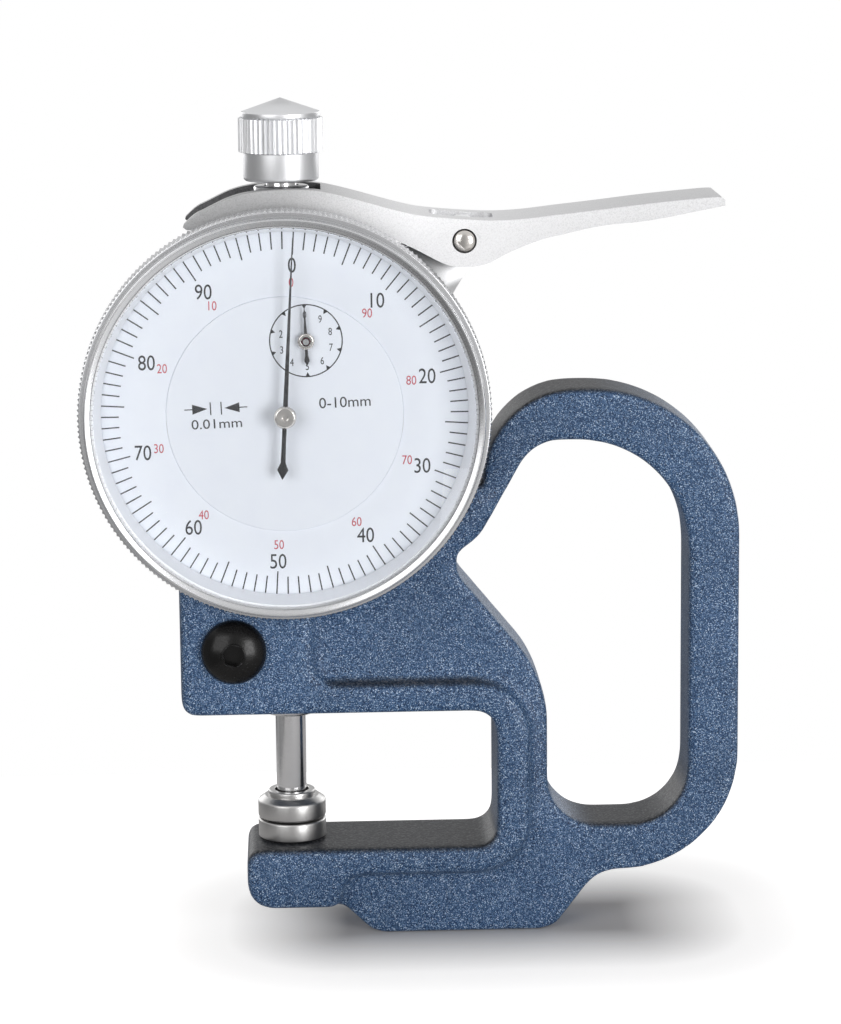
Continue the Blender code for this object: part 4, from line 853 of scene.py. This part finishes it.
def build_scale_print():
    """A hundred divisions and two rows of figures: black clockwise, small red the other way."""
    divisions = 100
    outer, long_inner, short_inner = 25.68, 22.45, 23.2
    marks = []
    for index in range(divisions):
        inner = long_inner if index % 5 == 0 else short_inner
        mark = block((0.18, outer - inner, print_height), (0, (inner + outer) / 2, 0))
        marks.append(moved(mark, turn=-math.tau * index / divisions))
    figures = []
    reds = []
    for index in range(10):
        angle = QUARTER - math.tau * index / 10 + scale_turn
        across, up = math.cos(angle), math.sin(angle)
        upright = index in (0, 5)
        radius = 21.0 if upright else 20.6
        figures.append(lettering(str(index * 10), 2.12, radius * across, radius * up, 0.82))
        radius = 18.6 if upright else 18.3
        reds.append(lettering(str((100 - index * 10) % 100), 1.3, radius * across, radius * up))
    printed("scale_divisions", marks, ring_top, print_black, "bezel_body", turn=scale_turn)
    printed("scale_figures", figures, ring_top, print_black, "bezel_body")
    printed("scale_red_figures", reds, ring_top, print_red, "bezel_body")


def build_disc_print():
    """The turn counter's circle, its figures and the two lines on range and division."""
    half = print_height / 2
    circle = 5.06
    figure_radius = 3.62
    shapes = [ring_disc(circle - 0.08, circle + 0.08, -half, half, steps=96)]
    for index in range(10):
        turn = math.tau * index / 10 + disc_turn
        wedge = polygon([(-0.33, circle), (0, circle - 0.62), (0.33, circle)], -half, half)
        shapes.append(moved(wedge, turn=turn))
        angle = QUARTER + turn
        shapes.append(lettering(str(index), 1.05, figure_radius * math.cos(angle),
                                figure_radius * math.sin(angle), 0.75))
    printed("counter_print", shapes, disc_top, print_black, "gauge_body", counter_x, counter_y)
    left = -9.6
    line = 1.4
    lines = [lettering("0.01mm", 1.35, left, -0.75, width=7.05),
             lettering("0-10mm", 1.5, 8.45, 1.35, width=7.2)]
    for side in (-1, 1):
        back = left + side * 3.3
        lines += [
            block((0.16, 1.8, print_height), (left + side * 0.75, line, 0)),
            polygon([(left + side * 1.2, line), (back, line + 0.7), (back, line - 0.7)], -half, half),
            block((1.3, 0.14, print_height), (left + side * 3.75, line, 0))]
    printed("disc_print", lines, disc_top, print_black, "gauge_body", turn=disc_turn)


# ---- hands
def hand(name, right_side, tail, node, body, turn, bore, boss=0.0, x=0.0, y=0.0):
    """A flat hand with eased edges, from the right side of its outline, bored for its arbor."""
    low, high = levels(node)
    left_side = [(-across, up) for across, up in reversed(right_side)]
    work = polygon([*right_side, (0, tail), *left_side], low, high)
    soften(work, lambda a, b: min(a.z, b.z) > (high - 0.01) * MM, 0.04, 2)
    thing = as_object(name, moved(work, x, y, turn=turn), dial_axes)
    if boss:
        cut(thing, bar(boss, low + 0.03, high - 0.03, steps=64), dial_axes, "UNION")
    cut(thing, moved(bar(bore, low - 1, high + 1, steps=48), x, y), dial_axes)
    piece(name, thing, None, black_enamel, body, node)


def build_hands():
    """The long pointer under its cap, and the small hand of the turn counter on its collet."""
    hand("long_hand", [(0.06, 25.2), (0.35, 0.5), (0.32, -1.2), (0.3, -4.0), (0.36, -6.6),
                       (0.78, -7.6)], -9.0, "pointer", "pointer_body", pointer_turn, 0.75, boss=1.5)
    low, top = levels("pointer_cap")
    piece("hand_cap", spun([
        (0, top - 0.22), (0.3, top - 0.22), (0.36, top - 0.05, 0.03), (0.62, top - 0.02),
        (1.35, top, 0.12), (1.6, top - 0.3, 0.1), (1.6, low, 0.05), (0.65, low), (0.65, low + 0.3),
        (0, low + 0.3)], 96),
        dial_axes, polished, "pointer_body", "pointer_cap")
    hand("small_hand", [(0.05, 4.9), (0.26, 0.6), (0.2, -1.0), (0.22, -2.0), (0.38, -2.75)], -3.4,
         "counter_hand", "counter_body", disc_turn, 0.65, x=counter_x, y=counter_y)
    low, top = levels("counter_hand")
    collet = spun([
        (0.65, top + 0.02), (0.7, top + 0.1, 0.03), (1.0, top + 0.1, 0.08), (1.17, top - 0.05, 0.05),
        (1.17, low, 0.05), (0.65, low)], 72, True)
    piece("small_hand_collet", moved(collet, counter_x, counter_y), dial_axes, polished,
          "counter_body")


# ---- lever and its pivot
lever_top = [(-39.8, 2.87), (-38.3, 4.2), (-36.6, 5.06), (-33.4, 6.56), (-30.2, 7.35), (-26.5, 7.65),
             (-23.1, 7.65), (-20.3, 7.4), (-15.9, 6.35), (-9.0, 4.4), (-4.7, 3.6), (3.0, 3.0),
             (8.2, 3.1), (13.8, 3.7), (19.5, 4.3), (26.6, 5.1), (34.6, 5.8), (36.6, 5.85)]
lever_bottom = [(37.15, 4.54), (26.6, 2.6), (19.5, 1.9), (13.8, 0.7), (10.8, 0), (6.6, -1.6),
                (3.1, -3.3), (0, -3.73), (-2.0, -3.5), (-3.7, -2.84), (-6.2, -1.5), (-9.0, -0.1),
                (-11.9, 1.05), (-17.5, 2.9), (-23.1, 3.9), (-27.9, 3.85), (-33.0, 2.84), (-37.0, 2.03),
                (-39.4, 2.1)]


def curve_through(points, steps=5):
    """A smooth open curve through points."""
    padded = [points[0], *points, points[-1]]
    curve = []
    for a, b, c, d in zip(padded, padded[1:], padded[2:], padded[3:]):
        for index in range(steps):
            t = index / steps
            basis = (2 * t**3 - 3 * t**2 + 1, t**3 - 2 * t**2 + t, 3 * t**2 - 2 * t**3, t**3 - t**2)
            curve.append(tuple(basis[0] * b[k] + basis[1] * (c[k] - a[k]) / 2
                               + basis[2] * c[k] + basis[3] * (d[k] - b[k]) / 2 for k in (0, 1)))
    return curve + [points[-1]]


def build_lever():
    """The lifting lever: a channel with a rounded back, forked at the bush, slotted at the lug."""
    half = extent("lever", 1)[1]
    thickness = 2
    wall = half - thickness
    fork_end = -20.3
    beyond, below, above = -43, -12, 16
    top = curve_through(lever_top)
    upper = {(round(x, 5), round(y, 5)) for x, y in top}
    work = polygon([*top, (37.15, 5.3), *curve_through(lever_bottom), (-39.9, 2.5)], -half, half)

    def on_top(a, b):
        return (abs(a.z - b.z) < MM / 100 and all(
            (round(place.x / MM, 5), round(place.y / MM, 5)) in upper for place in (a, b)))

    soften(work, on_top, 1.3, 5)
    lever = as_object("lever_body", work, lever_axes)
    channel_end = 33.2
    roof = curve_through([(x, y - thickness) for x, y in lever_top if x < channel_end])
    cut(lever, polygon([(beyond, roof[0][1]), *roof, (channel_end, roof[-1][1]),
                        (channel_end, below), (beyond, below)], -wall, wall), lever_axes)
    cut(lever, polygon([(beyond, below), (beyond, above), (fork_end, above), (fork_end, below)],
                       -wall, wall), lever_axes)
    slot = plate([(-4.8, -3.3, 1.2), (4.4, -3.3, 1.2), (4.4, 3.3, 1.2), (-4.8, 3.3, 1.2)], 0, 16)
    pin_hole = 1.75
    cut(lever, slot, Matrix.Translation((pivot_x * MM, 0, pivot_z * MM)))
    cut(lever, bar(pin_hole, -12, 12, steps=72), lever_axes)
    piece("lever_body", lever, None, lever_metal, "lever_body", "lever", 40)
    # Painted shade: the channel's inner walls and roof get the dark grey metal.
    lever.data.materials.append(painted_shade_channel)
    for face in lever.data.polygons:
        across = abs(face.center.y) / MM
        if (abs(across - wall) < 0.05 and abs(face.normal.y) > 0.9) or (
                across < wall and face.normal.z < -0.3):
            face.material_index = 1
    end = levels("pivot_pin")[1]
    ending = [(0, 0), (0.7, 0.05), (1.2, 0.2), (1.5, 0.42), (1.6, 0.7)]
    pin = spun([*[(radius, end - down) for radius, down in ending],
                *[(radius, down - end) for radius, down in reversed(ending)]], 96)
    piece("lever_pin", pin, lever_axes, polished, "gauge_body", "pivot_pin")


# ---- carried-over solids
def smoothed_solid(name, node, finish):
    """A copy of a turned solid with its loose triangles merged, so that its walls shade smooth."""
    work = bmesh.new()
    work.from_mesh(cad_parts[node].data)
    bmesh.ops.remove_doubles(work, verts=work.verts, dist=MM / 1000)
    piece(name, work, Matrix.Identity(4), finish, "gauge_body", node, 30)


def finish_movement():
    """The pieces inside the case and the guide pin keep their solids and get their metals."""
    metals = {
        steel: ["guide_pin", "spring_anchor", "rack_pinion", "centre_pinion", "counter_arbor",
                "hairspring_stud"],
        brass: ["transfer_gear", "counter_gear", "base_plate", "front_plate", "rack_cock"],
        spring_steel_and_painted_shade: ["return_spring", "hairspring"]}
    finishes = {name: metal for metal, names in metals.items() for name in names}
    for name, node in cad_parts.items():
        finish = finishes.get(name)
        if "jewel" in name:
            finish = ruby
        elif name.startswith("plate_"):
            finish = steel
        if finish:
            node.data.materials.clear()
            node.data.materials.append(finish)


# ---- floor, light and camera
def build_floor():
    """A sheet of pale paper, white to the camera, that keeps the gauge's soft shadow."""
    work = bmesh.new()
    bmesh.ops.create_grid(work, x_segments=2, y_segments=2, size=85 * MM)
    floor = as_object("floor", work, Matrix.Translation((0, 0, -0.05 * MM)))
    material, tree, shader, place = new_finish(
        "floor_paper", metallic=0.0, roughness=0.9, specular_ior_level=0.0, emission_color=(1, 1, 1))
    put(tree, shader["Base Color"], ramp(tree, clouds(tree, place, 4.0), [
        (0.3, (0.77, 0.745, 0.73)), (0.7, (0.79, 0.765, 0.75))]))
    path = add(tree, "LightPath").outputs
    mirrored = maths(tree, "MULTIPLY", path["Is Glossy Ray"], 0.2)
    seen = maths(tree, "MAXIMUM", path["Is Camera Ray"],
                 maths(tree, "MAXIMUM", mirrored, path["Is Transmission Ray"]))
    foot_middle = 3.5 * MM
    foot_half = (20.5 * MM, 6 * MM)
    parts = split(tree, place)
    sides = []
    for socket, half in zip((maths(tree, "SUBTRACT", parts["X"], foot_middle), parts["Y"]), foot_half):
        past = maths(tree, "SUBTRACT", maths(tree, "ABSOLUTE", socket), half)
        sides.append(maths(tree, "MAXIMUM", past, 0.0))
    away = flat_length(tree, *sides)
    near = spread(tree, away, 0.0, 18 * MM, 0.0, 0.66)
    far = spread(tree, away, 16 * MM, 45 * MM, 0.0, 0.34, "SMOOTHSTEP")
    put(tree, shader["Emission Strength"], maths(tree, "MULTIPLY", seen,
                                                 maths(tree, "ADD", near, far)))
    floor.data.materials.append(material)


def build_world():
    """A pale room: white where it is seen, and softly graded where metal reflects it."""
    world = bpy.data.worlds.new("studio")
    bpy.context.scene.world = world
    world.use_nodes = True
    tree = world.node_tree
    tree.nodes.clear()
    parts = split(tree, add(tree, "TexCoord").outputs["Generated"])
    toward = maths(tree, "MULTIPLY", parts["Y"], -1.0)
    swing = maths(tree, "DIVIDE", maths(tree, "ARCTAN2", parts["X"], toward), math.tau)
    walls = ramp(tree, maths(tree, "ADD", swing, 0.5), [
        (0.0, 0.7), (0.14, 0.6), (0.22, 0.25), (0.3, 0.3), (0.37, 0.2), (0.41, 0.22), (0.45, 0.4),
        (0.5, 0.42), (0.55, 0.75), (0.6, 1.0), (0.65, 0.85), (0.7, 0.5), (0.78, 0.35), (0.86, 0.55),
        (1.0, 0.7)])
    ceiling = (0.85, 0.85, 0.85)
    dark_corner = (0.14, 0.14, 0.145)
    room = mix(tree, spread(tree, parts["Z"], 0.3, 0.75, kind="SMOOTHSTEP"), walls, ceiling)
    behind = spread(tree, parts["Y"], 0.2, 0.8)
    below = spread(tree, parts["Z"], 0.04, -0.12)
    room = mix(tree, maths(tree, "MULTIPLY", behind, below), room, dark_corner)
    sides = spread(tree, parts["Z"], -0.2, 0.8, 0.46, 0.08)
    path = add(tree, "LightPath").outputs
    glossy = maths(tree, "MAXIMUM", path["Is Glossy Ray"], path["Is Transmission Ray"])
    dim, shown, white = [
        add(tree, "Background", {"Color": colour, "Strength": strength}).outputs[0]
        for colour, strength in (((1, 1, 1, 1), sides), (room, 1.0), ((1, 1, 1, 1), 1.0))]
    first = add(tree, "MixShader", {0: glossy, 1: dim, 2: shown}).outputs[0]
    second = add(tree, "MixShader", {0: path["Is Camera Ray"], 1: first, 2: white}).outputs[0]
    put(tree, add(tree, "OutputWorld").inputs["Surface"], second)


def soft_light(name, place, width, height, power):
    """A rectangular soft light that looks at the gauge's middle."""
    lamp = bpy.data.lights.new(name, "AREA")
    lamp.shape = "RECTANGLE"
    lamp.size = width
    lamp.size_y = height
    lamp.energy = power
    holder = bpy.data.objects.new(name, lamp)
    holder.location = place
    aim = Vector((0, 0, 0.06)) - Vector(place)
    holder.rotation_euler = aim.to_track_quat("-Z", "Y").to_euler()
    bpy.context.scene.collection.objects.link(holder)


def build_lights():
    """A low key light at the front right, a large fill at the left and two weak ones behind."""
    soft_light("key_light", (0.8, -1.1, 0.15), 0.6, 0.8, 8.5)
    soft_light("fill_light", (-0.7, -1.05, 0.4), 0.9, 0.9, 5.5)
    soft_light("back_light_left", (-0.7, 1.15, 0.3), 0.7, 0.8, 2.8)
    soft_light("back_light_right", (0.75, 1.1, 0.3), 0.7, 0.8, 2.8)


def build_camera():
    """The camera at the photograph's place: a little above the dial, turned right and down."""
    lens = bpy.data.cameras.new("view")
    lens.sensor_width = 36
    focal_pixels, picture_height = 3446.2, 1024
    lens.lens = focal_pixels * lens.sensor_width / picture_height
    lens.clip_start = 0.01
    lens.clip_end = 50
    view = bpy.data.objects.new("view", lens)
    turn = (Matrix.Rotation(math.radians(-2.09), 4, "Z")
            @ Matrix.Rotation(QUARTER - math.radians(11.04), 4, "X")
            @ Matrix.Rotation(math.radians(-0.57), 4, "Z"))
    place = Vector((1.47 + spindle_x, -493.83, 142.04 + contact_z)) * MM
    view.matrix_world = Matrix.Translation(place) @ turn
    bpy.context.scene.collection.objects.link(view)
    bpy.context.scene.camera = view


build_frame()
build_measuring_pieces()
build_spindle()
build_knob()
build_bush_and_cover_screws()
build_clamp_screw()
build_bezel()
build_glass()
build_dial()
build_scale_print()
build_disc_print()
build_hands()
build_lever()
smoothed_solid("case_shell", "indicator_case", case_metal)
smoothed_solid("back_cover", "rear_cover", cover_metal)
finish_movement()
build_floor()
build_world()
build_lights()
build_camera()
bpy.context.scene.view_settings.view_transform = "Standard"
